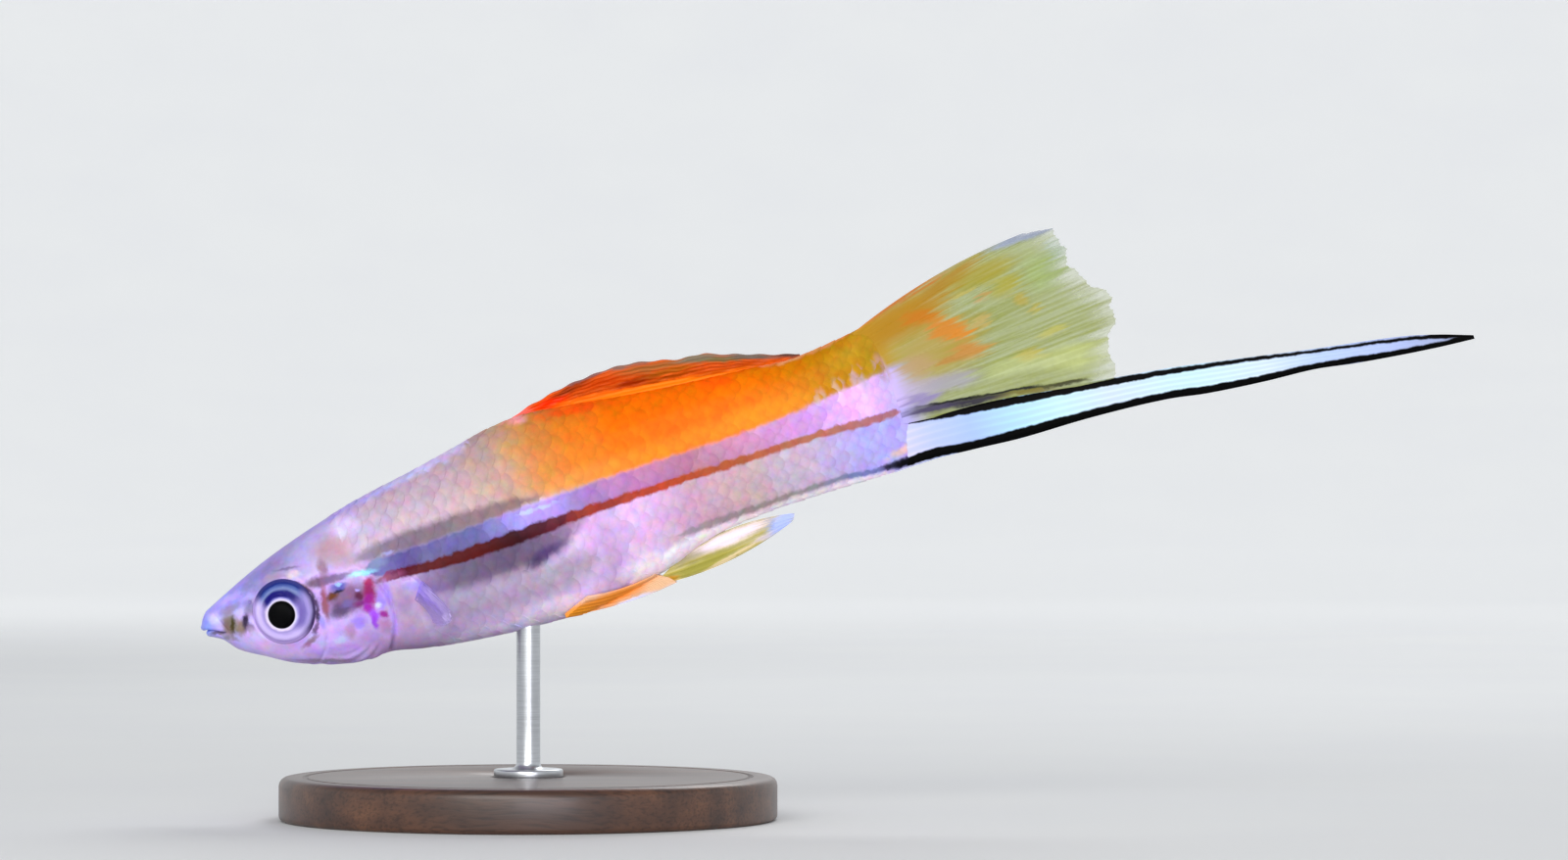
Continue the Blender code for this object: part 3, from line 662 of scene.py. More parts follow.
# %% Bands
# Each band: its colours along the body as (x, sRGB code), its strength, its softness in mm, and its edges
# as (x, lower, upper).
BANDS = (
    # the dull lilac of the upper side, from the snout to the orange
    (
        (
            (0, "a8a2f2"), (3, "a19cfb"), (8, "9183b3"), (12, "b5a9e1"), (15, "bfa9cf"), (20, "c0a9be"),
            (26, "bba1af"), (31, "bb9883"),
        ),
        1.0, 1.0,
        ((0, -0.2, 12), (5, 0.4, 12), (9, 1.4, 12), (12, 0.9, 12), (18, 0.6, 12), (36, 0.8, 12)),
    ),
    # a lighter edge along the back
    (
        ((0, "a4a0ff"), (10, "a390d2"), (17, "b2a3ed"), (24, "d4c8fc"), (29, "cdb4e0"), (33, "e89c94")),
        0.85, 0.7,
        (
            (0, 0.5, 12), (4.9, 2.3, 12), (12.6, 4.7, 12), (17.3, 5.8, 12), (22.9, 6.6, 12),
            (31, 8.0, 12), (34, 8.5, 12), (36, 11.9, 12),
        ),
    ),
    # the grey line above the blue band
    (
        ((15, "85788e"), (22, "5f5560"), (30, "7b646a")),
        0.85, 0.8,
        ((14, 1.8, 0.6), (17, 0.5, 1.7), (24, 0.35, 2.1), (30, 0.6, 1.9), (35, 1.6, 0.8)),
    ),
    # the orange of the hind back, olive towards the tail
    (
        (
            (29.5, "b4979a"), (31, "bd9884"), (32.5, "cb9362"), (34.5, "cc8040"), (37.5, "d87820"),
            (42, "ee6b02"), (52, "f06a00"), (58, "d57201"), (62, "b77b06"), (66, "b18519"),
            (68.5, "b38c24"),
        ),
        1.0, 1.0,
        (
            (27.5, 11.9, 12), (29.5, 5.5, 12), (32.5, 1.8, 12), (36, 1.1, 12), (44, 0.8, 12),
            (52, 0.7, 12), (57, 1.0, 12), (62, 1.5, 12), (66, 2.0, 12), (68, 2.4, 12),
        ),
    ),
    # its lighter middle
    (
        ((34, "e09c58"), (45, "ea9024"), (58, "e98e20")),
        0.45, 1.4,
        ((32, 2.6, 1.0), (35, 1.0, 2.4), (45, 0.8, 2.6), (58, 0.9, 3.0), (62, 2.6, 1.2)),
    ),
    # the pink edge along the back of the tail stalk
    (
        ((54, "f8b48c"), (64, "e89050"), (68, "c8782c")),
        0.85, 0.4,
        ((54, 11.9, 12), (56, 6.25, 12), (59.6, 5.75, 12), (64, 6.15, 12), (68, 6.9, 12)),
    ),
    # the blue band along the side, lilac further back
    (
        (
            (16, "7074ba"), (20, "544b8a"), (23, "5f5c96"), (27, "555794"), (30, "8c83d2"),
            (33, "aa91ea"), (37, "8f71b0"), (42, "ad6ea5"), (48, "a97189"), (54, "c087b4"),
            (60, "c190d7"), (64, "ebb5ff"), (67, "cab2f6"),
        ),
        0.95, 0.45,
        (
            (15.8, 0.2, -0.7), (17.5, -1.2, 0.5), (24, -1.4, 0.5), (30, -1.3, 0.7), (35, -1.2, 0.85),
            (42, -1.2, 0.85), (50, -1.2, 0.8), (57, -1.2, 1.0), (61, -1.4, 1.4), (65, -1.5, 1.8),
            (68, -1.6, 2.1),
        ),
    ),
    # the dark patch under the red stripe
    (
        ((21, "937bac"), (24, "5f526f"), (29, "4c3d54"), (33, "5c4666"), (36, "a07a9c")),
        0.9, 1.5,
        (
            (20, -2.4, -3.4), (22, -4.4, -1.4), (27, -4.9, -1.3), (33, -4.5, -1.3), (35.5, -2.8, -1.4),
            (37, -1.8, -2.6),
        ),
    ),
    # the greyer skin under that patch
    (
        ((22, "ae9eba"), (34, "a492a5")),
        0.8, 1.8,
        ((20, -5.0, -6.5), (24, -7.4, -4.6), (30, -7.8, -4.6), (34, -7.6, -4.6), (38, -4.6, -6.2)),
    ),
    # the pale belly
    (
        ((22, "e8d8ff"), (34, "ead8ff")),
        0.95, 1.0,
        ((19, -12, -9.5), (23, -12, -8.4), (28, -12, -8.8), (33, -12, -9.8), (35, -12, -11.5)),
    ),
    # the red stripe
    (
        (
            (17, "9c4c8c"), (19.5, "531218"), (22, "5a1a10"), (27, "520e02"), (30, "300408"),
            (33, "4e0d19"), (35, "5c131f"), (36.5, "902703"), (41, "9d3303"), (44, "b53e0a"),
            (52, "a85430"), (60, "ae6a52"), (64, "a46566"), (67.3, "a76f7e"),
        ),
        0.97, 0.3,
        (
            (17, -1.2, -1.6), (18.5, -1.8, -0.9), (20.5, -1.9, -1.1), (24, -2.25, -1.2),
            (29, -2.3, -1.05), (33, -2.15, -1.0), (36, -1.95, -1.0), (43, -1.8, -1.05),
            (52, -1.85, -1.15), (60, -1.9, -1.2), (64, -2.2, -1.45), (67, -2.2, -1.5), (67.8, -1.6, -2.1),
        ),
    ),
    # the pale underside of the tail stalk
    (
        ((38, "fff0fc"), (64, "fff0fa")),
        0.95, 0.6,
        (
            (37, -12, -11.5), (40, -12, -8.2), (43, -12, -7.3), (46, -12, -6.6), (52, -12, -6.45),
            (61, -12, -6.4), (64, -12, -6.75), (66, -12, -7.3),
        ),
    ),
    # the grey line along the foot of the tail stalk
    (
        (
            (44, "a1949e"), (52, "938684"), (58, "8b888c"), (61, "6c7aab"), (63.5, "6c6ba5"),
            (65, "3c3a60"),
        ),
        0.85, 0.32,
        (
            (43, -6.0, -7.0), (46, -6.45, -5.9), (52, -6.3, -5.8), (58, -6.2, -5.75), (61, -6.3, -5.8),
            (64, -6.6, -6.1), (68, -6.9, -6.2),
        ),
    ),
)

# %% [markdown]
# The marks of the head are small and have no common shape. A painter would dab them on one by one, and so
# does this lesson: each is a soft ellipse with a colour, a strength, the x and z of its middle, half its
# length and height in millimetres, and its tilt in degrees. The later ones lie over the earlier ones.

# %% Marks of the snout
# The pale blue lips, with a painted highlight on the upper one, and painted highlights along the ridge of
# the snout.
# Painted shade lies along the gape and in the front nostril's pit, among the dark spots before the eye.
SNOUT_MARKS = (
    ("8f9cff", 0.85, 0.4, -0.3, 0.8, 0.9, 0), ("d0c8ff", 0.8, 1.5, 0.1, 0.5, 0.5, 40),
    ("c3b2ff", 0.85, 3.4, 1.4, 1.3, 0.28, 8), ("bcb0ff", 0.6, 5.0, 0.9, 0.8, 0.25, 10),
    ("8880c0", 0.6, 6.4, 2.3, 2.2, 0.4, 20), ("8f83a6", 0.8, 3.2, 0.45, 1.0, 0.35, 8),
    ("85799f", 0.85, 5.1, -0.1, 0.6, 0.8, 10), ("766850", 0.95, 2.7, -0.95, 0.7, 1.0, -18),
    ("84705c", 0.9, 3.6, -1.5, 0.5, 0.7, -18), ("463a20", 0.95, 2.98, -1.05, 0.2, 0.75, -18),
    ("5a5262", 0.9, 1.35, -1.3, 0.65, 0.18, -14), ("8d8294", 0.7, 2.3, -2.05, 0.9, 0.2, -35),
    ("3a2c46", 0.97, 4.2, -1.1, 0.3, 0.75, -18), ("5e4460", 0.8, 4.45, -1.9, 0.3, 0.5, 0),
)

# %% Marks round the eye
# The pale cheek, and painted shade in the crease along the rear rim of the eye.
EYE_MARKS = (
    ("d8c4f6", 0.8, 4.9, -2.8, 0.5, 1.0, 30), ("dab6f4", 0.7, 6.6, -4.6, 3.0, 0.5, -24),
    ("d2b0fa", 0.7, 8.2, -5.1, 2.4, 0.45, -14), ("96687e", 0.85, 9.3, -4.75, 0.9, 0.25, 20),
    ("e4c2d0", 0.8, 9.8, 1.65, 0.6, 0.3, -25), ("b29cc2", 0.5, 8.2, 2.0, 1.6, 0.3, 0),
    ("6f6086", 0.7, 9.4, 2.3, 1.0, 0.12, -10), ("4a3c62", 0.85, 9.7, 0.85, 0.6, 0.14, -40),
    ("372a50", 0.95, 10.5, 0.05, 0.75, 0.2, -58), ("2c2244", 0.97, 10.9, -1.25, 0.85, 0.3, -88),
    ("37294c", 0.95, 10.75, -2.6, 0.75, 0.24, 76), ("54406a", 0.85, 10.2, -3.8, 0.6, 0.2, 52),
)

# %% Marks of the temple
# The brown shade behind the eye, and the warm spot of the nape.
TEMPLE_MARKS = (
    ("6e526c", 0.95, 11.9, 0.2, 1.6, 0.5, -4), ("77628a", 0.85, 13.4, 0.05, 1.5, 0.3, 0),
    ("b58b98", 0.85, 13.8, 2.6, 1.7, 1.25, -10), ("8f667c", 0.85, 12.55, 1.3, 0.45, 0.8, 0),
    ("b292a6", 0.6, 14.8, 1.3, 1.0, 0.7, 0), ("e4d0ff", 0.7, 15.6, 4.4, 1.3, 0.9, 0),
)

# %% Marks of the gill cover
# Dark and purple pigment, painted highlights where the guanine glints, and the blue start of the side band.
GILL_MARKS = (
    ("7a5478", 0.9, 13.9, -2.0, 2.5, 1.25, -6), ("975868", 0.95, 11.75, -1.8, 0.3, 1.6, -10),
    ("584472", 0.9, 13.0, -2.9, 1.1, 0.6, 10), ("7564ac", 0.85, 13.7, -2.5, 0.6, 0.35, 0),
    ("6c3a14", 0.97, 12.6, -1.45, 0.55, 0.35, 8), ("1f1738", 0.95, 13.3, -1.15, 0.5, 0.2, 0),
    ("4350b4", 0.8, 13.4, -0.75, 0.75, 0.3, -5), ("9cc4ff", 0.97, 13.4, -0.58, 0.3, 0.15, -8),
    ("5a1c40", 0.9, 14.95, -2.2, 0.45, 0.4, 0), ("bca6ff", 0.9, 14.95, -1.58, 0.2, 0.14, 0),
    ("7a2a74", 0.9, 14.9, -2.9, 0.6, 0.3, 0), ("a0225c", 0.95, 16.2, -1.3, 0.5, 0.45, -18),
    ("98185e", 0.95, 16.0, -2.0, 0.55, 0.6, -18), ("a0188c", 0.95, 15.8, -2.75, 0.55, 0.5, -18),
    ("aa1cae", 0.95, 15.45, -3.5, 0.45, 0.45, -18), ("94506e", 0.85, 17.8, -1.45, 1.0, 0.25, 2),
    ("a585fa", 0.9, 16.75, -3.1, 0.4, 0.9, -8), ("b492ee", 0.85, 17.5, -2.9, 0.35, 1.2, -6),
    ("d4dcff", 0.97, 16.4, -3.5, 0.28, 0.25, 0), ("a42c96", 0.95, 16.6, -4.5, 0.45, 0.28, -20),
    ("a44cf4", 0.95, 15.7, -4.3, 0.45, 0.55, 0), ("9c40ea", 0.9, 15.55, -5.0, 0.3, 0.5, -10),
    ("a484fa", 0.9, 14.1, -4.4, 0.75, 0.5, 0), ("ba86b6", 0.75, 16.3, -5.6, 0.5, 0.7, 0),
    ("caaaff", 0.9, 17.25, -5.0, 0.25, 0.9, 0), ("cbabff", 0.9, 17.0, -6.2, 0.28, 0.8, -16),
    ("a896f8", 0.9, 10.9, -3.4, 0.25, 0.55, 0), ("c2acfc", 0.85, 12.2, -4.5, 0.45, 0.7, 0),
    ("b98ab8", 0.75, 13.1, -5.0, 0.5, 0.7, 0), ("c8c0ff", 0.95, 10.35, -5.3, 0.45, 0.35, 0),
    ("caccff", 0.95, 12.0, -5.55, 0.6, 0.35, 0), ("c2a2fa", 0.8, 11.4, -6.2, 2.6, 0.35, -10),
    ("bd98e0", 0.7, 14.6, -6.2, 1.6, 0.6, 0), ("9484a6", 0.7, 9.6, -6.75, 2.8, 0.2, -18),
    ("c79cd2", 0.6, 16.0, -7.3, 1.8, 0.6, 0), ("9ae0ff", 0.98, 15.95, -0.32, 1.2, 0.25, -6),
    ("c0f0ff", 0.9, 15.5, -0.3, 0.5, 0.13, -6), ("7c8ab0", 0.85, 17.4, 0.1, 0.8, 0.45, 0),
)

# %% Marks of the body
# Spots of pigment and light that no band gives.
BODY_MARKS = (
    ("c6a6bc", 0.5, 19.3, -5.2, 1.4, 1.6, 0), ("a0aadf", 0.7, 18.6, 0.75, 0.6, 0.16, 0),
    ("abc4fe", 0.7, 33.0, 0.25, 1.5, 0.22, 0), ("967edc", 0.7, 20.0, -2.9, 0.9, 0.5, -20),
    ("a285b3", 0.5, 18.6, -3.8, 0.7, 1.2, 0), ("4b386b", 0.8, 32.3, -3.8, 1.6, 0.5, 14),
    ("42315c", 0.7, 31.1, -4.5, 0.7, 0.4, 30), ("ffefff", 0.7, 31.5, -9.0, 2.2, 0.8, 0),
    ("ffefff", 0.7, 41.0, -8.0, 2.4, 1.0, 10), ("ffa3b1", 0.8, 33.6, 8.6, 1.0, 0.5, 0),
    ("f94e07", 0.8, 38.4, 7.9, 2.2, 0.5, -6), ("fe5605", 0.6, 52.0, 6.1, 1.6, 0.6, 0),
    ("c2a5a0", 0.45, 60.8, 1.7, 0.3, 0.7, 0), ("c6a8b0", 0.45, 62.7, 1.9, 0.3, 0.9, 10),
    ("bb9eb7", 0.6, 64.8, 2.1, 0.35, 1.1, 10), ("b895a0", 0.7, 67.2, 2.4, 0.4, 1.2, 10),
    ("e2c6b4", 0.85, 66.2, -5.4, 1.1, 0.4, 10), ("060608", 0.99, 66.9, -6.5, 2.4, 0.36, -2),
)
PATCHES = SNOUT_MARKS + EYE_MARKS + TEMPLE_MARKS + GILL_MARKS + BODY_MARKS
print("bands:", len(BANDS), "patches:", len(PATCHES))

# %% [markdown]
# A Float Curve node draws a line along the body from a few points. A band lies above its lower line and
# below its upper one, and where the two cross, the band ends. Curves run from 0 to 1, so lengths along the
# body are divided by its span, and heights by the span from below the belly to above the back.

# %% Paint bands
BODY_SPAN = 70.0
LOW = -13.0
HIGH_SPAN = 26.0


def between(material, share, z, soft, edges):
    """1 between a band's two edges, and 0 outside, with soft borders."""
    masks = []
    for side, start, end in ((1, -0.5, 0.5), (2, 0.5, -0.5)):
        curve = add(material, "FloatCurve", {"Value": share})
        set_curve(curve, [(edge[0] / BODY_SPAN, (edge[side] - LOW) / HIGH_SPAN) for edge in edges])
        level = add(material, "Math", {0: curve.outputs[0], 1: HIGH_SPAN, 2: LOW}, operation="MULTIPLY_ADD")
        off = add(material, "Math", {0: z, 1: level.outputs[0]}, operation="SUBTRACT")
        mask = add(
            material, "MapRange",
            {"Value": off.outputs[0], "From Min": start * soft, "From Max": end * soft},
            interpolation_type="SMOOTHSTEP",
        )
        masks.append(mask.outputs[0])
    return add(material, "Math", {0: masks[0], 1: masks[1]}, operation="MULTIPLY").outputs[0]


def along_body(material, share, colours):
    """A colour that changes along the body."""
    blend = add(material, "ValToRGB", {"Fac": share})
    set_ramp(blend, *[(x / BODY_SPAN, code) for x, code in colours])
    return blend.outputs[0]


# %% Paint patches
# A patch fades out at 1.6 times its half size and is full within 0.4 of it. It reaches through the whole
# fish, so both sides get it.
PATCH_REACH = 1.6
PATCH_FULL = 0.74
THROUGH_THE_FISH = 1000


def paint_patches(material, place, colour, patches):
    """Soft ellipses of pigment over a colour. Also returns how much of it they leave uncovered."""
    bare = 1.0
    for code, strength, centre_x, centre_z, half_length, half_height, tilt in patches:
        local = add(
            material, "Mapping",
            {
                "Vector": place, "Location": (centre_x, 0, centre_z),
                "Rotation": (0, -math.radians(tilt), 0),
                "Scale": (PATCH_REACH * half_length, THROUGH_THE_FISH, PATCH_REACH * half_height),
            },
            vector_type="TEXTURE",
        )
        middle = add(material, "TexGradient", {"Vector": local.outputs[0]}, gradient_type="SPHERICAL")
        mask = add(
            material, "MapRange",
            {"Value": middle.outputs["Fac"], "From Max": PATCH_FULL, "To Max": strength},
            interpolation_type="SMOOTHSTEP",
        )
        mix = add(material, "Mix", {0: mask.outputs[0], 6: colour, 7: linear(code)}, data_type="RGBA")
        colour = mix.outputs[2]
        left = add(material, "Math", {0: 1.0, 1: mask.outputs[0]}, operation="SUBTRACT")
        bare = add(material, "Math", {0: left.outputs[0], 1: bare}, operation="MULTIPLY").outputs[0]
    return colour, bare


# %% Paint all markings


def paint_markings(material, place, from_x=0.0):
    """The fish's colour at a place in its frame. from_x leaves out what lies wholly ahead of it."""
    split = add(material, "SeparateXYZ", {0: place})
    share = add(material, "Math", {0: split.outputs[0], 1: BODY_SPAN}, operation="DIVIDE").outputs[0]
    colour = along_body(material, share, FLANK_COLOURS)
    for colours, strength, soft, edges in BANDS:
        if edges[-1][0] < from_x:
            continue
        mask = between(material, share, split.outputs[2], soft, edges)
        much = add(material, "Math", {0: mask, 1: strength}, operation="MULTIPLY")
        pigment = along_body(material, share, colours)
        colour = add(
            material, "Mix", {0: much.outputs[0], 6: colour, 7: pigment}, data_type="RGBA"
        ).outputs[2]
    near = [patch for patch in PATCHES if patch[2] + patch[4] > from_x]
    return paint_patches(material, place, colour, near)[0]


# %% Clouds and places
EDGE_NOISE_MM = 0.7


def hue_clouds(material, place, colour):
    """Soft clouds in which a colour turns a little lighter, darker, pinker or bluer."""
    # They are about 1.1 mm wide, smaller than a scale, so the noise has a scale of 0.9 per millimetre.
    clouds = add(material, "TexNoise", {"Vector": place, "Scale": 0.9, "Detail": 4.0, "Roughness": 0.65})
    around_one = add(
        material, "VectorMath", {0: clouds.outputs["Color"], 1: (0.8, 0.8, 0.8), 2: (0.6, 0.6, 0.6)},
        operation="MULTIPLY_ADD",
    )
    return add(
        material, "VectorMath", {0: colour, 1: around_one.outputs[0]}, operation="MULTIPLY"
    ).outputs[0]


def fish_place(material, noise=EDGE_NOISE_MM, fineness=0.9):
    """Object coordinates turned into the fish's frame, and the same moved a little by noise. fineness is 1
    over the size of the noise in millimetres, so 0.9 gives bends of 1.1 mm."""
    place = add(material, "TexCoord").outputs["Object"]
    turned = add(
        material, "Mapping",
        {
            "Vector": place, "Location": (SNOUT_X * MM, 0, SNOUT_HEIGHT * MM),
            "Rotation": (0, -NOSE_DOWN, 0), "Scale": (MM, MM, MM),
        },
        vector_type="TEXTURE",
    )
    cloud = add(
        material, "TexNoise",
        {"Vector": turned.outputs[0], "Scale": fineness, "Detail": 3.0, "Roughness": 0.6},
    )
    centred = add(
        material, "VectorMath", {0: cloud.outputs["Color"], 1: (0.5, 0.5, 0.5)}, operation="SUBTRACT"
    )
    sized = add(material, "VectorMath", {0: centred.outputs[0], "Scale": noise}, operation="SCALE")
    moved = add(material, "VectorMath", {0: turned.outputs[0], 1: sized.outputs[0]}, operation="ADD")
    return turned.outputs[0], moved.outputs[0]


# %% [markdown]
# Skin over silvery guanine is a soft, pearly, wet thing: light pigment in a translucent layer, a mirror of
# fine crystals under it, and a film of slime on top. In a shader that is a colour with a little metal in
# it, some light let in under the surface, and a clear coat.

# %% Skin material
# Its edges bend in waves of 0.7 mm, and its grain of 0.2 mm is that of the slime over the cells.
skin_material = new_material("pearly skin under slime")
true_place, soft_place = fish_place(skin_material, 0.65, 1.5)
skin_colour = hue_clouds(skin_material, true_place, paint_markings(skin_material, soft_place))
grain = add(
    skin_material, "TexNoise", {"Vector": true_place, "Scale": 5.0, "Detail": 5.0, "Roughness": 0.6}
)
bump = add(skin_material, "Bump", {"Height": grain.outputs[0], "Strength": 0.15, "Distance": 0.00006})
gloss = add(
    skin_material, "MapRange",
    {"Value": grain.outputs[0], "From Min": 0.3, "From Max": 0.7, "To Min": 0.36, "To Max": 0.48},
)
skin_shader = add(
    skin_material, "BsdfPrincipled",
    {
        "Base Color": skin_colour, "Roughness": gloss.outputs[0], "Metallic": 0.08, "IOR": 1.2,
        "Coat Weight": 0.06, "Coat Roughness": 0.12, "Coat IOR": 1.34, "Normal": bump.outputs[0],
    },
)
add(skin_material, "OutputMaterial", {"Surface": skin_shader.outputs[0]})

# %% [markdown]
# A scale is a clear horny plate, and the colour belongs to the skin on it. So one scale hardly differs from
# the skin: it takes a little of its colour from its own middle, it is a touch darker towards its edges,
# partly from the net of pigment along the rows and partly as painted shade where each free edge stands over
# the next scale, and no two scales are quite the same.

# %% Scale material
# The finest grain, 0.14 mm, is that of the growth rings of a scale.
scale_material = new_material("horny scale over pigment")
true_place, soft_place = fish_place(scale_material)
centre = add(scale_material, "Attribute", attribute_name="centre").outputs["Vector"]
plate_place = add(scale_material, "Mix", {0: 0.07, 4: soft_place, 5: centre}, data_type="VECTOR").outputs[1]
rim = add(scale_material, "Attribute", attribute_name="rim").outputs["Fac"]
tint = add(scale_material, "Attribute", attribute_name="tint").outputs["Fac"]
step_along = add(scale_material, "MapRange", {"Value": tint, "To Min": -0.5, "To Max": 0.5})
stepped = add(scale_material, "CombineXYZ", {0: step_along.outputs[0]})
plate_place = add(
    scale_material, "VectorMath", {0: plate_place, 1: stepped.outputs[0]}, operation="ADD"
).outputs[0]
scale_colour = hue_clouds(scale_material, true_place, paint_markings(scale_material, plate_place))
# Darker towards the scale's edges: partly the net of pigment along the rows, partly painted shade where
# each free edge stands over the next scale.
rim_pigment_and_shade = add(
    scale_material, "MapRange",
    {"Value": rim, "From Min": 0.2, "From Max": 1.0, "To Min": 1.03, "To Max": 0.93},
)
tint_red = add(scale_material, "MapRange", {"Value": tint, "To Min": 0.96, "To Max": 1.04})
tint_green = add(scale_material, "MapRange", {"Value": tint, "To Min": 0.92, "To Max": 1.08})
tint_colour = add(
    scale_material, "CombineXYZ",
    {0: tint_red.outputs[0], 1: tint_green.outputs[0], 2: tint_red.outputs[0]},
)
scale_rim_shaded = add(
    scale_material, "VectorMath", {0: scale_colour, "Scale": rim_pigment_and_shade.outputs[0]}, operation="SCALE"
)
scale_tinted = add(
    scale_material, "VectorMath", {0: scale_rim_shaded.outputs[0], 1: tint_colour.outputs[0]}, operation="MULTIPLY"
)
fine = add(scale_material, "TexNoise", {"Vector": true_place, "Scale": 7.0, "Detail": 4.0})
bump = add(scale_material, "Bump", {"Height": fine.outputs[0], "Strength": 0.12, "Distance": 0.00005})
gloss = add(scale_material, "MapRange", {"Value": fine.outputs[0], "To Min": 0.3, "To Max": 0.5})
scale_shader = add(
    scale_material, "BsdfPrincipled",
    {
        "Base Color": scale_tinted.outputs[0], "Roughness": gloss.outputs[0], "Metallic": 0.08, "IOR": 1.12,
        "Coat Weight": 0.06, "Coat Roughness": 0.12, "Coat IOR": 1.34, "Normal": bump.outputs[0],
    },
)
add(scale_material, "OutputMaterial", {"Surface": scale_shader.outputs[0]})

# %% Dress the body
finish_piece(
    skin, "trunk_skin", skin_material, "head", "lower_jaw", "gill_cover_left", "gill_cover_right", "trunk",
    "tail_stalk",
)
finish_piece(scales, "trunk_skin", scale_material)

# %% [markdown]
# ## Fins
#
# A fin is a fan of bony rays with a clear membrane between them, and each ray forks as it goes out. Here a
# fin is a grid, extruded to a closed sheet with two faces: across the grid runs from the first ray to the
# last, and along it runs from root to tip. Ridges stand where the rays are, and the ray, along and across
# values are kept for the material.

# %% Fin sheets


def list_line(points):
    """A smooth curve through a list of points, from 0 at the first to 1 at the last."""
    places = np.linspace(0, 1, len(points))
    lines = [smooth_line(*zip(places, axis)) for axis in zip(*points)]
    return lambda share: np.stack([line(share) for line in lines], axis=-1)


def forked(share, along, rays, first, second):
    """How far a place is from its nearest ray, in ray spacings. Rays fork at first and again at second."""
    off = np.abs((share * rays) % 1 - 0.5)
    off = np.abs(off - 0.25 * ramp(along, first, first + 0.3))
    return np.abs(off - 0.125 * ramp(along, second, second + 0.25))


def fin_sheet(name, across_steps, along_steps, midline, half_thick, ray_of):
    """A closed two-sided sheet. midline and half_thick are functions of (share, along)."""
    steps = {"x_subdivisions": across_steps, "y_subdivisions": along_steps}
    fin = fresh(bpy.ops.mesh.primitive_grid_add, name, size=2, **steps)
    bpy.ops.object.mode_set(mode="EDIT")
    bpy.ops.mesh.select_all(action="SELECT")
    bpy.ops.mesh.extrude_region_move(TRANSFORM_OT_translate={"value": (0, 0, 1)})
    bpy.ops.object.mode_set(mode="OBJECT")
    flat = points_of(fin.data)
    share, along, side = (flat[:, 0] + 1) / 2, (flat[:, 1] + 1) / 2, flat[:, 2] * 2 - 1
    small = 0.002
    ahead = midline(share, np.minimum(along + small, 1)) - midline(share, np.maximum(along - small, 0))
    around = midline(np.minimum(share + small, 1), along) - midline(np.maximum(share - small, 0), along)
    normal = np.cross(around, ahead)
    normal /= np.linalg.norm(normal, axis=-1, keepdims=True) + 1e-12
    thick = half_thick(share, along)
    place_points(fin.data, to_world(midline(share, along) + normal * (side * thick)[:, None]))
    keep_value(fin.data, "ray", ray_of(share, along))
    keep_value(fin.data, "along", along)
    keep_value(fin.data, "across", share)
    drop_maps(fin.data)
    face_outwards(fin)
    return fin


# %% [markdown]
# The tail fin stands on the end of the tail stalk. Its rays run from a curved row of roots to the curve of
# the tips, and each forks twice on its way. The membrane is a little shorter than the rays, which gives the
# fin its notched edge, and the whole fan waves a little from side to side.

# %% The tail fin
TAIL_RAYS = 9
tail_roots = list_line(
    ((65.4, 0, 6.3), (66.6, 0, 5.2), (67.0, 0, 3.2), (67.2, 0, 1.0), (67.2, 0, -1.2), (67.0, 0, -3.05))
)
tail_tips = list_line(
    ((83.7, 0, 10.2), (86.1, 0, 9.7), (86.8, 0, 8.0), (86.8, 0, 6.4), (87.6, 0, 4.4), (89.4, 0, 2.3),
     (89.4, 0, 0.6), (88.2, 0, -1.6), (87.4, 0, -5.3))
)


def tail_ray(share, along):
    return ridge(forked(share, along, TAIL_RAYS, 0.15, 0.45), 0.06 - 0.02 * along)


def tail_midline(share, along):
    root, tip = tail_roots(share), tail_tips(share)
    between_tips = 0.006 * (1 - tail_ray(share, 1.0 + 0 * along))
    notch = between_tips + 0.009 * np.sin(share * 37) + 0.005 * np.sin(share * 83)
    reach = along * (0.99 - notch)
    point = root + (tip - root) * reach[..., None]
    point[..., 2] += 0.75 * (1 - share) ** 3 * 4 * along * (1 - along)
    point[..., 1] += 0.16 * np.sin(share * 9 + along * 2) * along**1.5
    return point


def tail_thick(share, along):
    body = 0.04 + 0.4 * (1 - along) ** 5
    return body + 0.014 * tail_ray(share, along)


tail_fin = fin_sheet("tail_fin", 320, 48, tail_midline, tail_thick, tail_ray)

# %% [markdown]
# The sword is the lowest part of the tail fin, drawn out to a blade four fifths as long as the body. Its
# cross section is a flat lens, and the fine ribs on it are its rays.

# %% The sword
sword_top = smooth_line(
    (65, -2.9), (69.7, -3.1), (75.1, -3.55), (80.4, -4.2), (88.3, -5.35), (92.6, -6.0), (96.8, -6.8),
    (105.2, -8.45), (113.8, -10.05), (116.8, -10.9), (119.9, -12.0),
)
sword_bottom = smooth_line(
    (65, -7.1), (68.5, -7.05), (72.7, -7.35), (77.8, -7.8), (82.7, -7.95), (87.4, -8.25), (91.3, -8.65),
    (94.9, -9.3), (100.4, -9.95), (104.7, -10.3), (109, -11.05), (116.6, -12.05), (119.9, -12.35),
)
SWORD_START = 65.2
SWORD_END = 119.85
SWORD_RIBS = 6


def sword_midline(share, along):
    x = SWORD_START + (SWORD_END - SWORD_START) * along
    z = sword_top(x) + (sword_bottom(x) - sword_top(x)) * share
    return np.stack([x, 0.10 * np.sin(along * 5) * along, z], axis=-1)


def sword_ray(share, along):
    return ridge((share * SWORD_RIBS + 0.15) % 1 - 0.5, 0.2)


def sword_thick(share, along):
    lens = np.sqrt(np.clip(1 - (2 * share - 1) ** 2, 0.02, 1))
    ribs = 0.95 + 0.05 * sword_ray(share, along)
    return (0.44 - 0.2 * along) * lens * ribs * ramp(along, 1.02, 0.97)


sword = fin_sheet("sword_blade", 48, 260, sword_midline, sword_thick, sword_ray)

# %% [markdown]
# The back fin is folded, so its rays lie nearly along the back. Here across runs from its upper edge down
# to the back, and along runs towards the tail. The sheet swings from side to side between the rays, like
# pleats.

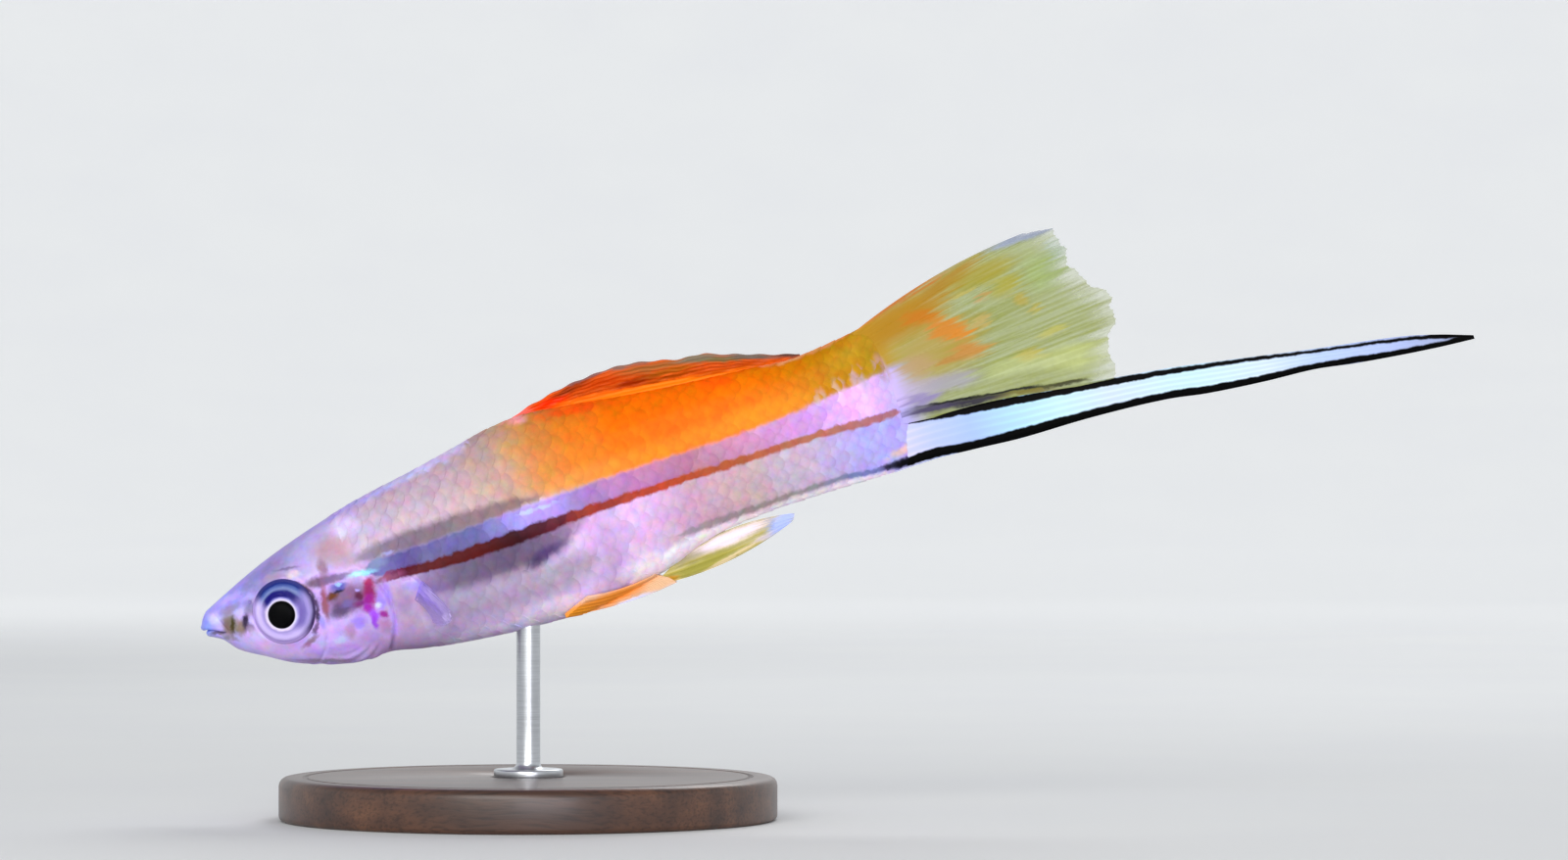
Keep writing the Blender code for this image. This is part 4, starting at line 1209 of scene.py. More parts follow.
# %% The folded back fin
BACK_FIN_START = 33.0
BACK_FIN_END = 60.3
BACK_FIN_RAYS = 8
back_fin_top = smooth_line(
    (33, 8.75), (34.5, 9.3), (36, 9.62), (38, 10.0), (40, 10.25), (43, 10.4), (45, 10.25), (48, 9.6),
    (49.8, 9.15), (51.8, 9.0), (52.8, 8.6), (55, 7.85), (57, 7.15), (58.6, 6.6), (60.3, 6.1),
)


def back_fin_ray(share, along):
    wander = 0.35 * np.sin(along * 9 + share * 4)
    return ridge((share * BACK_FIN_RAYS + wander) % 1 - 0.5, 0.22)


def back_fin_midline(share, along):
    x = BACK_FIN_START + (BACK_FIN_END - BACK_FIN_START) * along
    foot = back(x) - 0.5
    z = foot + (back_fin_top(x) + 0.05 * np.sin(x * 2.9) - foot) * (1 - share)
    y = 0.12 * np.sin(share * BACK_FIN_RAYS * 2 * math.pi + along * 9) * share * (1 - share) * 4
    return np.stack([x, y, z], axis=-1)


def back_fin_thick(share, along):
    return 0.05 + 0.22 * share**2 * (1 - 0.6 * along) + 0.035 * back_fin_ray(share, along)


back_fin = fin_sheet("back_fin", 70, 150, back_fin_midline, back_fin_thick, back_fin_ray)

# %% [markdown]
# A male's anal fin is turned into a rod, thick and stiff. Its cross section is a lens with ribs for its
# rays, and it thins towards its tip.

# %% The rod
ROD_FIN_RIBS = 5
rod_fin_roots = list_line(((40.6, 0, -9.9), (42.4, 0, -9.0), (44.0, 0, -8.1)))
rod_fin_tips = list_line(((53.6, 0, -8.75), (54.9, 0, -8.25), (55.2, 0, -7.7)))


def rod_fin_ray(share, along):
    return ridge((share * ROD_FIN_RIBS) % 1 - 0.5, 0.24)


def rod_fin_midline(share, along):
    root, tip = rod_fin_roots(share), rod_fin_tips(share)
    point = root + (tip - root) * along[..., None]
    point[..., 2] += (0.75 - 1.5 * (1 - share)) * 4 * along * (1 - along)
    return point


def rod_fin_thick(share, along):
    lens = np.sqrt(np.clip(1 - (2 * share - 1) ** 2, 0.05, 1))
    return (0.36 - 0.16 * along) * lens * (0.8 + 0.2 * rod_fin_ray(share, along))


rod_fin = fin_sheet("rod_fin", 40, 60, rod_fin_midline, rod_fin_thick, rod_fin_ray)


# %% [markdown]
# The pelvic fins lie against the belly and point back, so their distance from the middle follows the flank.
# The pectoral fins stand out from the sides and point down and back. Each pair is made by one function, and
# side is -1 on the left and 1 on the right.

# %% The paired fins
PELVIC_RAYS = 5
PECTORAL_RAYS = 8


def pelvic_fin(side):
    roots = list_line(((32.2, 0, -9.95), (33.3, 0, -9.5), (34.8, 0, -8.95)))
    tips = list_line(((42.9, 0, -10.3), (42.4, 0, -9.7), (41.2, 0, -8.95)))

    def ray(share, along):
        return ridge(forked(share, along, PELVIC_RAYS, 0.4, 1.2), 0.12)

    def midline(share, along):
        point = roots(share) + (tips(share) - roots(share)) * along[..., None]
        point[..., 2] += (-0.45 + 0.15 * share) * 4 * along * (1 - along)
        x, z = point[..., 0], point[..., 2]
        down = np.clip((widest(x) - z) / (widest(x) - belly(x)), 0, 1)
        flank = half_width(x) * (1 - down ** square_below(x)) ** (1 / square_below(x))
        point[..., 1] = side * np.maximum(flank + 0.4, 1.1)
        return point

    def thick(share, along):
        return 0.06 + 0.16 * (1 - along) ** 2 + 0.05 * ray(share, along)

    return fin_sheet("pelvic_fan_" + ("left" if side < 0 else "right"), 60, 36, midline, thick, ray)


def pectoral_fin(side):
    roots = list_line(((19.3, 3.7, -3.6), (20.0, 3.7, -2.9), (20.7, 3.7, -2.4)))
    tips = list_line(((20.8, 6.6, -6.7), (21.8, 9.0, -7.2), (22.6, 10.6, -6.9), (22.8, 11.2, -5.8)))

    def ray(share, along):
        return ridge(forked(share, along, PECTORAL_RAYS, 0.3, 1.2), 0.1)

    def midline(share, along):
        reach = along * (1 - 0.01 * np.cos(share * 44))
        point = roots(share) + (tips(share) - roots(share)) * reach[..., None]
        point[..., 0] += 0.35 * np.sin(math.pi * along) * (1 - share)
        point[..., 1] *= side
        return point

    def thick(share, along):
        return 0.04 + 0.12 * (1 - along) ** 2 + 0.02 * ray(share, along) * (1 - along)

    return fin_sheet("pectoral_fan_" + ("left" if side < 0 else "right"), 90, 36, midline, thick, ray)


pelvics = [pelvic_fin(side) for side in (-1, 1)]
pectorals = [pectoral_fin(side) for side in (-1, 1)]

# %% [markdown]
# ## Fin materials
#
# The membrane between the rays is clear tissue a few cells thick, and the bony rays are denser. So the
# membrane lets more light through than the rays do, and the pigment lies over both in patches. Strands of
# tissue run along the rays. They streak the membrane, push the pigment to and fro and fray the fin's edge.
# All this reads the ray, along and across values that are kept on the fin's mesh.

# %% Fin colours
# A strand is over a third of a ray long. About 30 lie side by side across a fin, each under 1 mm wide.
STRAND_LENGTHS = 2.6


def fin_colours(material, soft_place, tissue, membrane, bone, marks, body_until, push):
    """The fin's colour, how bare of pigment it is, and how much of it is the body's root."""
    ray, along, streak = tissue
    dense = add(material, "Math", {0: ray, 1: 0.35, 2: streak}, operation="MULTIPLY_ADD", use_clamp=True)
    shades = {0: dense.outputs[0], 6: linear(membrane), 7: linear(bone)}
    colour = add(material, "Mix", shades, data_type="RGBA").outputs[2]
    if body_until:
        split = add(material, "SeparateXYZ", {0: soft_place})
        root = add(
            material, "MapRange",
            {"Value": split.outputs[0], "From Min": body_until + 2.5, "From Max": body_until - 1.5},
            interpolation_type="SMOOTHSTEP",
        ).outputs[0]
        body_colour = paint_markings(material, soft_place, body_until - 3)
        colour = add(material, "Mix", {0: root, 6: colour, 7: body_colour}, data_type="RGBA").outputs[2]
    else:
        root = add(
            material, "MapRange", {"Value": along, "From Max": 0.2, "To Min": 1.0, "To Max": 0.0}
        ).outputs[0]
    pushed = add(material, "MapRange", {"Value": streak, "To Min": -push, "To Max": push})
    push_by = add(material, "CombineXYZ", {0: pushed.outputs[0]})
    mark_place = add(
        material, "VectorMath", {0: soft_place, 1: push_by.outputs[0]}, operation="ADD"
    ).outputs[0]
    colour, bare = paint_patches(material, mark_place, colour, marks)
    return colour, bare, root


# %% Fin tissue
# Clouds of cells are about 0.6 mm wide, so their noise has a scale of 1.6 per millimetre.
CELL_CLOUDS = 1.6
JOINT_TURNS = 240.0
PIGMENT_COVER = 0.45


def fin_material(
    name, membrane, bone, clear, dense, marks, body_until=None, at_tips=1.0, push=0.6, strands=30
):
    """Membrane and ray colours, how solid each is, and patches of pigment. Up to body_until mm, the fin's
    root carries on the body's own markings. at_tips is what is left of the membrane at the rays' tips.
    Strands of tissue push the pigment to and fro by up to push mm."""
    material = new_material(name)
    ray = add(material, "Attribute", attribute_name="ray").outputs["Fac"]
    along = add(material, "Attribute", attribute_name="along").outputs["Fac"]
    across = add(material, "Attribute", attribute_name="across").outputs["Fac"]
    on_fin = add(material, "CombineXYZ", {0: along, 1: across})
    strand_place = add(
        material, "Mapping", {"Vector": on_fin.outputs[0], "Scale": (STRAND_LENGTHS, strands, 1)}
    )
    strand = add(material, "TexNoise", {"Vector": strand_place.outputs[0], "Scale": 1.0, "Detail": 2.0})
    streak = add(
        material, "MapRange", {"Value": strand.outputs[0], "From Min": 0.3, "From Max": 0.7}
    ).outputs[0]
    true_place, soft_place = fish_place(material, 0.5)
    tissue = (ray, along, streak)
    colour, bare, root = fin_colours(material, soft_place, tissue, membrane, bone, marks, body_until, push)

    # How much light the fin stops: rays more than membrane, pigment and root more still, frayed tips less.
    cells = add(material, "TexNoise", {"Vector": true_place, "Scale": CELL_CLOUDS, "Detail": 5.0})
    cloudy = add(material, "MapRange", {"Value": cells.outputs[0], "To Min": 0.8, "To Max": 1.2})
    solid = add(material, "MapRange", {"Value": ray, "To Min": clear, "To Max": dense})
    thin = add(material, "Math", {0: solid.outputs[0], 1: cloudy.outputs[0]}, operation="MULTIPLY")
    pigment = add(material, "Math", {0: 1.0, 1: bare}, operation="SUBTRACT").outputs[0]
    inked = add(
        material, "Math", {0: pigment, 1: PIGMENT_COVER, 2: thin.outputs[0]}, operation="MULTIPLY_ADD"
    )
    rooted = add(material, "Math", {0: inked.outputs[0], 1: root}, operation="ADD", use_clamp=True)
    frayed = add(material, "Math", {0: streak, 1: 0.1, 2: along}, operation="MULTIPLY_ADD")
    left = {
        "Value": frayed.outputs[0], "From Min": 0.92, "From Max": 1.05, "To Min": 1.0, "To Max": at_tips
    }
    at_edge = add(material, "MapRange", left)
    alpha = add(material, "Math", {0: rooted.outputs[0], 1: at_edge.outputs[0]}, operation="MULTIPLY")

    # Each ray is a chain of about 40 short joints: a sine wave of 240 radians has 38.
    joints = add(material, "Math", {0: along, 1: JOINT_TURNS}, operation="MULTIPLY")
    joint_wave = add(material, "Math", {0: joints.outputs[0]}, operation="SINE")
    joint_height = add(material, "Math", {0: joint_wave.outputs[0], 1: ray}, operation="MULTIPLY")
    bump = add(material, "Bump", {"Height": joint_height.outputs[0], "Strength": 0.2, "Distance": 0.00004})
    shader = add(
        material, "BsdfPrincipled",
        {
            "Base Color": colour, "Roughness": 0.42, "IOR": 1.12, "Alpha": alpha.outputs[0],
            "Coat Weight": 0.05, "Coat Roughness": 0.2, "Normal": bump.outputs[0],
        },
    )
    add(material, "OutputMaterial", {"Surface": shader.outputs[0]})
    return material


# %% [markdown]
# The tail fin is a greenish clear membrane. Orange from the tail stalk runs out into it in spots, its upper
# edge is grey-blue, and three dark lines lie along its foot, above the sword.

# %% Tail fin material
TAIL_FIN_MARKS = (
    ("b0a1cc", 0.6, 70.2, -0.4, 1.8, 1.0, 0), ("a68a3a", 0.75, 72.6, 2.6, 3.6, 2.6, 0),
    ("b0906a", 0.7, 70.4, 1.6, 1.4, 1.0, 0), ("a97804", 0.95, 70.4, 6.2, 4.4, 1.6, 12),
    ("a07614", 0.9, 75.6, 8.2, 3.4, 0.7, 18), ("9a8a28", 0.7, 78.6, 7.8, 3.0, 0.9, 8),
    ("b8682c", 0.85, 70.5, 7.9, 4.6, 0.22, 14), ("ba6e08", 0.9, 72.0, 5.8, 1.4, 0.6, -15),
    ("c67a22", 0.9, 73.9, 4.1, 1.7, 0.9, -30), ("cc7e24", 0.85, 75.0, 3.2, 0.9, 0.5, -10),
    ("bb7e38", 0.85, 75.3, 1.5, 1.6, 0.7, -14), ("b07c38", 0.8, 73.6, 1.2, 1.2, 0.3, -8),
    ("b4985a", 0.7, 76.8, 3.6, 0.6, 0.7, 0), ("9d922a", 0.7, 80.2, 6.1, 1.4, 0.9, 10),
    ("a6913c", 0.7, 81.0, 4.4, 0.8, 0.6, 0), ("ab9b49", 0.7, 82.2, 3.2, 0.6, 0.4, 0),
    ("b0844a", 0.7, 78.0, 5.8, 0.5, 0.4, 0), ("b0a050", 0.7, 76.2, 6.6, 1.0, 0.2, 6),
    ("b3a041", 0.7, 80.2, -0.7, 1.4, 0.5, -10), ("b3aa51", 0.6, 83.2, 0.7, 1.2, 0.4, 0),
    ("8f98b6", 0.85, 83.2, 9.9, 3.6, 0.5, 0), ("9bb1ac", 0.5, 86.2, 7.8, 1.0, 1.2, 0),
    ("9a95aa", 0.7, 73.0, -0.8, 2.2, 0.8, -6), ("c4cc88", 0.45, 84.6, -2.2, 3.4, 1.2, -8),
    ("b2bb80", 0.5, 78.6, -1.2, 2.6, 0.8, -6), ("92ae64", 0.4, 84.4, 6.2, 2.0, 1.6, 0),
    ("8a7cb0", 0.85, 69.4, -1.5, 1.6, 0.6, -10), ("40365a", 0.95, 70.4, -2.6, 2.8, 0.4, -6),
    ("262036", 0.95, 74.2, -3.15, 2.6, 0.3, -9), ("6a5a1c", 0.8, 79.4, -3.95, 3.0, 0.22, -9),
    ("0b0a12", 0.97, 72.4, -2.5, 3.0, 0.16, -8), ("0c0b10", 0.97, 77.4, -3.32, 3.6, 0.16, -9),
    ("2c2a14", 0.9, 82.8, -4.25, 2.6, 0.13, -9),
)
tail_fin_material = fin_material(
    "clear fin, yellow-green", "8e9638", "a9b285", 0.72, 0.8, TAIL_FIN_MARKS,
    body_until=68.3, at_tips=0.35, push=1.1, strands=32,
)

# %% [markdown]
# The back fin is as red as the back. Folded, it is several layers thick, so it lets little light through.
# Its upper edge is grey.

# %% Back fin material
BACK_FIN_MARKS = (
    ("f8830f", 0.9, 46.0, 7.5, 9.0, 0.35, -7), ("ff6f65", 0.95, 33.8, 8.9, 1.3, 0.6, 10),
    ("ef3003", 0.95, 37.2, 9.1, 1.6, 0.5, 3), ("98380f", 0.95, 39.4, 9.75, 1.8, 0.25, 6),
    ("c74207", 0.9, 42.0, 9.4, 2.2, 0.4, -3), ("fd6f11", 0.9, 40.6, 8.5, 2.8, 0.22, -5),
    ("cf3203", 0.8, 37.2, 8.3, 2.2, 0.2, -6), ("992700", 0.95, 45.2, 8.5, 2.0, 0.28, -3),
    ("9c6632", 0.85, 47.2, 9.2, 3.0, 0.35, -9), ("a54401", 0.9, 48.6, 7.85, 2.4, 0.16, -4),
    ("a85c10", 0.85, 48.2, 8.4, 2.4, 0.25, -5), ("c45104", 0.9, 52.0, 7.05, 1.7, 0.2, -6),
    ("7a6458", 0.9, 45.0, 10.25, 4.2, 0.3, -6), ("7a5a58", 0.9, 41.0, 10.25, 3.0, 0.16, 4),
    ("79715c", 0.95, 51.4, 8.7, 2.0, 0.45, -12), ("6a7047", 0.85, 53.4, 7.85, 2.4, 0.22, -14),
    ("6e665c", 0.95, 56.0, 7.4, 2.6, 0.35, -19), ("5c4038", 0.95, 59.6, 6.3, 1.2, 0.25, -16),
)
back_fin_material = fin_material("folded fin, red rays", "f2641a", "c04a0c", 0.85, 0.95, BACK_FIN_MARKS)

# %% [markdown]
# The rod fin and the paired fins have only a breath of colour: olive and white on the rod, orange on the
# pelvic fins, and violet on the pectoral fins, which are the clearest.

# %% Rod fin material
# The pale yellow dab on the rod's lower edge near its root, at 42.9 mm, is a painted highlight.
ROD_FIN_MARKS = (
    ("9f9940", 0.9, 45.6, -9.5, 3.4, 0.5, 8), ("f8e4f8", 0.97, 48.8, -7.95, 3.6, 0.55, 5),
    ("9b9373", 0.7, 44.6, -8.6, 1.6, 0.4, 10), ("fff2a8", 0.95, 42.9, -10.2, 0.8, 0.2, -12),
    ("c88917", 0.9, 42.2, -9.9, 0.8, 0.3, 0), ("e1cb9f", 0.85, 48.0, -9.75, 4.4, 0.2, 12),
    ("abbcff", 0.95, 53.9, -8.2, 1.7, 0.8, 30), ("8494cc", 0.7, 52.8, -7.9, 0.2, 0.7, 12),
    ("d4c7d0", 0.8, 51.8, -8.9, 1.0, 0.2, 10),
)
rod_fin_material = fin_material("clear fin, olive", "d8cf96", "b8a848", 0.6, 0.85, ROD_FIN_MARKS)

# %% Paired fin materials
PELVIC_MARKS = (
    ("f89430", 0.98, 36.2, -9.75, 4.6, 0.55, 4), ("fda02c", 0.95, 33.4, -10.05, 1.4, 0.5, 0),
    ("dce0ff", 0.95, 38.0, -10.65, 4.4, 0.25, 3), ("ebc29a", 0.9, 41.6, -9.9, 1.6, 0.6, 5),
)
PECTORAL_MARKS = (
    ("ac90f6", 0.9, 21.0, -4.0, 2.4, 0.5, -60), ("d6c2ff", 0.98, 21.9, -5.0, 1.9, 0.3, -60),
    ("8c78d6", 0.8, 20.5, -4.1, 0.8, 0.2, -60), ("8f7ae0", 0.9, 20.0, -3.0, 0.8, 0.6, -40),
    ("dac8ff", 0.9, 22.4, -6.5, 0.35, 0.5, 0),
)
pelvic_material = fin_material("clear fin, orange", "f0c8ae", "e8b88c", 0.7, 0.88, PELVIC_MARKS)
pectoral_material = fin_material(
    "clear fin, violet", "a68cdc", "b09ae6", 0.35, 0.45, PECTORAL_MARKS, at_tips=0.6
)

# %% [markdown]
# The sword is the long lower part of the tail fin. It is opaque, with crystals in it that shine pale blue,
# and its two borders are black. Each border is a line drawn by one Float Curve, and a second one gives its
# thickness. There is little shine on the black, so its IOR is close to that of the water film over it.

# %% Sword material
BLADE_SPAN = 120.0
BLADE_DEPTH = 14.0
sword_material = new_material("opaque fin, black edges")
_, soft_place = fish_place(sword_material, 0.35)
split = add(sword_material, "SeparateXYZ", {0: soft_place})
share_x = add(sword_material, "Math", {0: split.outputs[0], 1: BLADE_SPAN}, operation="DIVIDE").outputs[0]
along_blade = add(sword_material, "ValToRGB", {"Fac": share_x})
set_ramp(
    along_blade, (0.55, "dfd4f4"), (0.58, "bcc6f4"), (0.61, "a8c0fa"), (0.64, "b0dcfc"), (0.68, "c8f0ff"),
    (0.72, "d4e2f6"), (0.78, "ccf0ff"), (0.84, "d6e6fa"), (0.88, "b8ccf2"), (0.93, "b2bfee"),
    (1.0, "8c90a8"),
)
blade_ray = add(sword_material, "Attribute", attribute_name="ray").outputs["Fac"]
between_rays = add(
    sword_material, "MapRange", {"Value": blade_ray, "To Min": 0.35, "To Max": 0.0}
).outputs[0]
streaked = {0: between_rays, 6: along_blade.outputs[0], 7: linear("9db4dc")}
blade_colour = add(sword_material, "Mix", streaked, data_type="RGBA").outputs[2]

# %% Black borders of the sword
# Each border: its colour, and points (x, height at the middle of the line, half its thickness) in mm.
BLADE_LINES = (
    # the lower border
    (
        "030303",
        (
            (64.0, -6.7, 0.0), (66, -6.62, 0.25), (68, -6.5, 0.38), (73, -7.05, 0.42), (80, -7.5, 0.45),
            (88, -8.05, 0.42), (92, -8.5, 0.4), (96, -9.15, 0.36), (100, -9.65, 0.36), (104, -10.0, 0.3),
            (109, -10.75, 0.3), (113, -11.45, 0.32), (120, -12.25, 0.3),
        ),
    ),
    # the upper border
    (
        "040304",
        (
            (67.0, -3.05, 0.0), (69, -3.2, 0.2), (72, -3.55, 0.32), (76, -4.05, 0.36), (80, -4.6, 0.32),
            (84, -5.1, 0.3), (88, -5.65, 0.27), (92, -6.25, 0.23), (97, -7.1, 0.18), (102, -8.05, 0.14),
            (106, -8.85, 0.12), (110, -9.6, 0.12), (114, -10.4, 0.14), (117, -11.15, 0.2),
            (120, -12.0, 0.3),
        ),
    ),
)
for code, points in BLADE_LINES:
    middle = add(sword_material, "FloatCurve", {"Value": share_x})
    set_curve(middle, [(x / BLADE_SPAN, z / BLADE_DEPTH + 1) for x, z, _ in points])
    thick = add(sword_material, "FloatCurve", {"Value": share_x})
    set_curve(thick, [(x / BLADE_SPAN, half) for x, _, half in points])
    level = {0: middle.outputs[0], 1: BLADE_DEPTH, 2: -BLADE_DEPTH}
    height = add(sword_material, "Math", level, operation="MULTIPLY_ADD")
    off = add(sword_material, "Math", {0: split.outputs[2], 1: height.outputs[0]}, operation="SUBTRACT")
    away = add(sword_material, "Math", {0: off.outputs[0]}, operation="ABSOLUTE")
    inside = add(sword_material, "Math", {0: thick.outputs[0], 1: away.outputs[0]}, operation="SUBTRACT")
    mask = add(sword_material, "MapRange", {"Value": inside.outputs[0], "From Min": -0.1, "From Max": 0.03})
    inked = {0: mask.outputs[0], 6: blade_colour, 7: linear(code)}
    blade_colour = add(sword_material, "Mix", inked, data_type="RGBA").outputs[2]
sword_shader = add(
    sword_material, "BsdfPrincipled", {"Base Color": blade_colour, "Roughness": 0.5, "IOR": 1.12}
)
add(sword_material, "OutputMaterial", {"Surface": sword_shader.outputs[0]})

# %% Dress the fins
finish_piece(tail_fin, "fin_clear", tail_fin_material, "caudal_fin")
finish_piece(sword, "sword_blue", sword_material, "sword")
finish_piece(back_fin, "fin_orange", back_fin_material, "dorsal_fin")
finish_piece(rod_fin, "fin_clear", rod_fin_material, "gonopodium")
for side, fin in zip(("left", "right"), pelvics):
    finish_piece(fin, "fin_orange", pelvic_material, "pelvic_fin_" + side)
for side, fin in zip(("left", "right"), pectorals):
    finish_piece(fin, "fin_clear", pectoral_material, "pectoral_fin_" + side)

# %% [markdown]
# ## The eyes
#
# A fish's eye has no lids. A round black lens bulges through the pupil, around it is a silver ring and a
# darker iris, and a clear cornea covers them like a watch glass. The eyeball is a sphere whose rings are
# moved to that profile, and the cornea is a thin clear shell over it.

# %% Eyeballs
EYE_OUT = 3.62
EYE_TURN = math.radians(10.5)
PUPIL_AHEAD = 0.29
PUPIL_DOWN = 0.24
RIM_AT = 0.58
RIM_RADIUS = 3.02
FRONT = 0.55
# Each profile is a list of (share of the way from front to back, value in mm).
eye_radius_at = smooth_line(
    (0, 0), (0.1, 0.7), (0.17, 1.12), (0.205, 1.27), (0.235, 1.38), (0.34, 1.95), (0.46, 2.66),
    (0.52, 2.95), (RIM_AT, RIM_RADIUS), (0.66, 2.8), (1, 0),
)
eye_depth_at = smooth_line(
    (0, 0.42), (0.1, 0.34), (0.17, 0.16), (0.205, 0.02), (0.235, 0.06), (0.34, 0.15), (0.46, 0.02),
    (0.52, -0.12), (RIM_AT, -0.4), (0.66, -0.9), (1, -2.2),
)
cornea_radius_at = smooth_line((0, 0), (0.25, 1.35), (0.5, 2.4), (0.62, 2.84), (0.7, 2.75), (1, 0))
cornea_depth_at = smooth_line((0, 0.85), (0.25, 0.72), (0.5, 0.36), (0.62, -0.1), (0.7, -0.3), (1, -0.5))


def eye_piece(name, side, radius_at, depth_at, sides, rings):
    piece = fresh(bpy.ops.mesh.primitive_uv_sphere_add, name, segments=sides, ring_count=rings, radius=1)
    ball = points_of(piece.data)
    share = np.arccos(np.clip(ball[:, 2], -1, 1)) / math.pi
    bearing = np.arctan2(ball[:, 1], ball[:, 0])
    radius, depth = radius_at(share), depth_at(share)
    # The pupil sits a little ahead of the eyeball's middle and below it, so the ball's front moves there.
    shift = ramp(radius, 2.5, 1.2) * (share < FRONT)
    along = radius * np.cos(bearing) - PUPIL_AHEAD * shift
    up = radius * np.sin(bearing) - PUPIL_DOWN * shift
    out = EYE_OUT + depth * math.cos(EYE_TURN) + along * math.sin(EYE_TURN)
    x = EYE[0] + along * math.cos(EYE_TURN) - depth * math.sin(EYE_TURN)
    place_points(piece.data, to_world(np.stack([x, side * out, EYE[1] + up], axis=-1)))
    keep_value(piece.data, "radius", np.where(share < RIM_AT, radius, RIM_RADIUS))
    keep_value(piece.data, "height", np.sin(bearing + NOSE_DOWN))
    keep_value(piece.data, "fore", np.cos(bearing + NOSE_DOWN))
    drop_maps(piece.data)
    face_outwards(piece)
    return piece


# %% [markdown]
# The iris is a film of silver crystals over dark pigment. Above the pupil the pigment shows blue, below it
# the crystals are pale lilac, and behind it they are greyer. So three colour ramps run from the pupil out
# to the rim, and two soft masks choose between them. Last come the silver ring and the black of the pupil.

# %% Iris material
IRIS_SPAN = 3.0
IRIS_RAMPS = (
    # above the pupil
    (
        (0.45, "e8e4f8"), (0.5, "7c78cc"), (0.55, "16106c"), (0.66, "1e1c74"), (0.73, "7888b8"),
        (0.79, "5266aa"), (0.86, "1c2c7c"), (0.97, "3c3c7c"),
    ),
    # below it
    (
        (0.45, "f4e8ec"), (0.51, "d4c2ea"), (0.57, "9a8ecc"), (0.64, "ae9edc"), (0.74, "ccbaf4"),
        (0.82, "d6c6fa"), (0.91, "bca6e6"), (0.98, "b49cdc"),
    ),
    # behind it
    (
        (0.45, "d8d8fc"), (0.51, "a498dc"), (0.58, "7464b2"), (0.7, "7c6eb8"), (0.8, "a698d8"),
        (0.87, "9488c0"), (0.95, "443660"),
    ),
)
iris_material = new_material("iris, silver and blue")
radius = add(iris_material, "Attribute", attribute_name="radius").outputs["Fac"]
height = add(iris_material, "Attribute", attribute_name="height").outputs["Fac"]
fore = add(iris_material, "Attribute", attribute_name="fore").outputs["Fac"]
around = add(iris_material, "CombineXYZ", {0: height, 1: fore, 2: radius})
streaks = add(iris_material, "TexNoise", {"Vector": around.outputs[0], "Scale": 3.0, "Detail": 5.0})
shift = add(iris_material, "MapRange", {"Value": streaks.outputs[0], "To Min": -0.13, "To Max": 0.13})
moved = add(iris_material, "Math", {0: radius, 1: shift.outputs[0]}, operation="ADD")
share = add(iris_material, "Math", {0: moved.outputs[0], 1: IRIS_SPAN}, operation="DIVIDE")
parts = []
for stops in IRIS_RAMPS:
    part = add(iris_material, "ValToRGB", {"Fac": share.outputs[0]})
    set_ramp(part, *stops)
    parts.append(part.outputs[0])
upper, lower, hind = parts
above = {"Value": height, "From Min": 0.1, "From Max": 0.6}
is_upper = add(iris_material, "MapRange", above, interpolation_type="SMOOTHSTEP").outputs[0]
behind = {"Value": fore, "From Min": 0.5, "From Max": 0.95}
is_hind = add(iris_material, "MapRange", behind, interpolation_type="SMOOTHSTEP").outputs[0]
iris_colour = add(iris_material, "Mix", {0: is_upper, 6: lower, 7: upper}, data_type="RGBA").outputs[2]
iris_colour = add(iris_material, "Mix", {0: is_hind, 6: iris_colour, 7: hind}, data_type="RGBA").outputs[2]
for starts, is_full, code in ((1.52, 1.34, "ddd4f2"), (1.32, 1.26, "020203")):
    mask = add(
        iris_material, "MapRange", {"Value": radius, "From Min": starts, "From Max": is_full}
    ).outputs[0]
    iris_colour = add(
        iris_material, "Mix", {0: mask, 6: iris_colour, 7: linear(code)}, data_type="RGBA"
    ).outputs[2]
# Iris and lens lie in clear fluid of nearly their own index, so only the cornea in front of them is glossy.
iris_shader = add(
    iris_material, "BsdfPrincipled", {"Base Color": iris_colour, "Roughness": 0.4, "IOR": 1.1}
)
add(iris_material, "OutputMaterial", {"Surface": iris_shader.outputs[0]})

# %% [markdown]
# The cornea is as clear as glass and always wet, so all the eye sees of it is a small sharp reflection that
# grows towards its rim. A clear shader mixed with a sharp gloss by Fresnel gives that.

# %% Cornea material
cornea_material = new_material("clear wet cornea")
clear = add(cornea_material, "BsdfTransparent", {"Color": (1, 1, 1, 1)})
shine = add(cornea_material, "BsdfGlossy", {"Color": (1, 1, 1, 1), "Roughness": 0.04})
dome = add(cornea_material, "Fresnel", {"IOR": 1.12})
cornea_shader = add(
    cornea_material, "MixShader", {0: dome.outputs[0], 1: clear.outputs[0], 2: shine.outputs[0]}
)
add(cornea_material, "OutputMaterial", {"Surface": cornea_shader.outputs[0]})

# %% Make the eyes
for side, word in ((-1, "left"), (1, "right")):
    eyeball = eye_piece("eyeball_" + word, side, eye_radius_at, eye_depth_at, 96, 64)
    finish_piece(eyeball, "eye", iris_material, "eye_" + word)
    cornea = eye_piece("cornea_" + word, side, cornea_radius_at, cornea_depth_at, 64, 32)
    finish_piece(cornea, "eye", cornea_material)

# %% [markdown]
# ## The stand
#
# The stand is what a museum workshop would make: a turned disc of dark hardwood with a satin varnish, and
# one polished steel rod with a small flange, up to the belly. Both are turned on a lathe, so each is
# described by its profile, a list of (radius, height) points. A sphere has the rings for it: its first pole
# becomes the middle of the underside and its last the middle of the top.

# %% Turned pieces
ROD_RADIUS = 1.1
ROD_TOP = to_world((ROD_AT, 0, belly(ROD_AT)))[2] / MM + 2.0


def rounded(radius, height, size, start, end):
    """Points of a rounded edge around (radius, height), from one angle in degrees to the other."""
    angles = np.radians(np.linspace(start, end, 5))
    return list(zip(radius + size * np.cos(angles), height + size * np.sin(angles)))


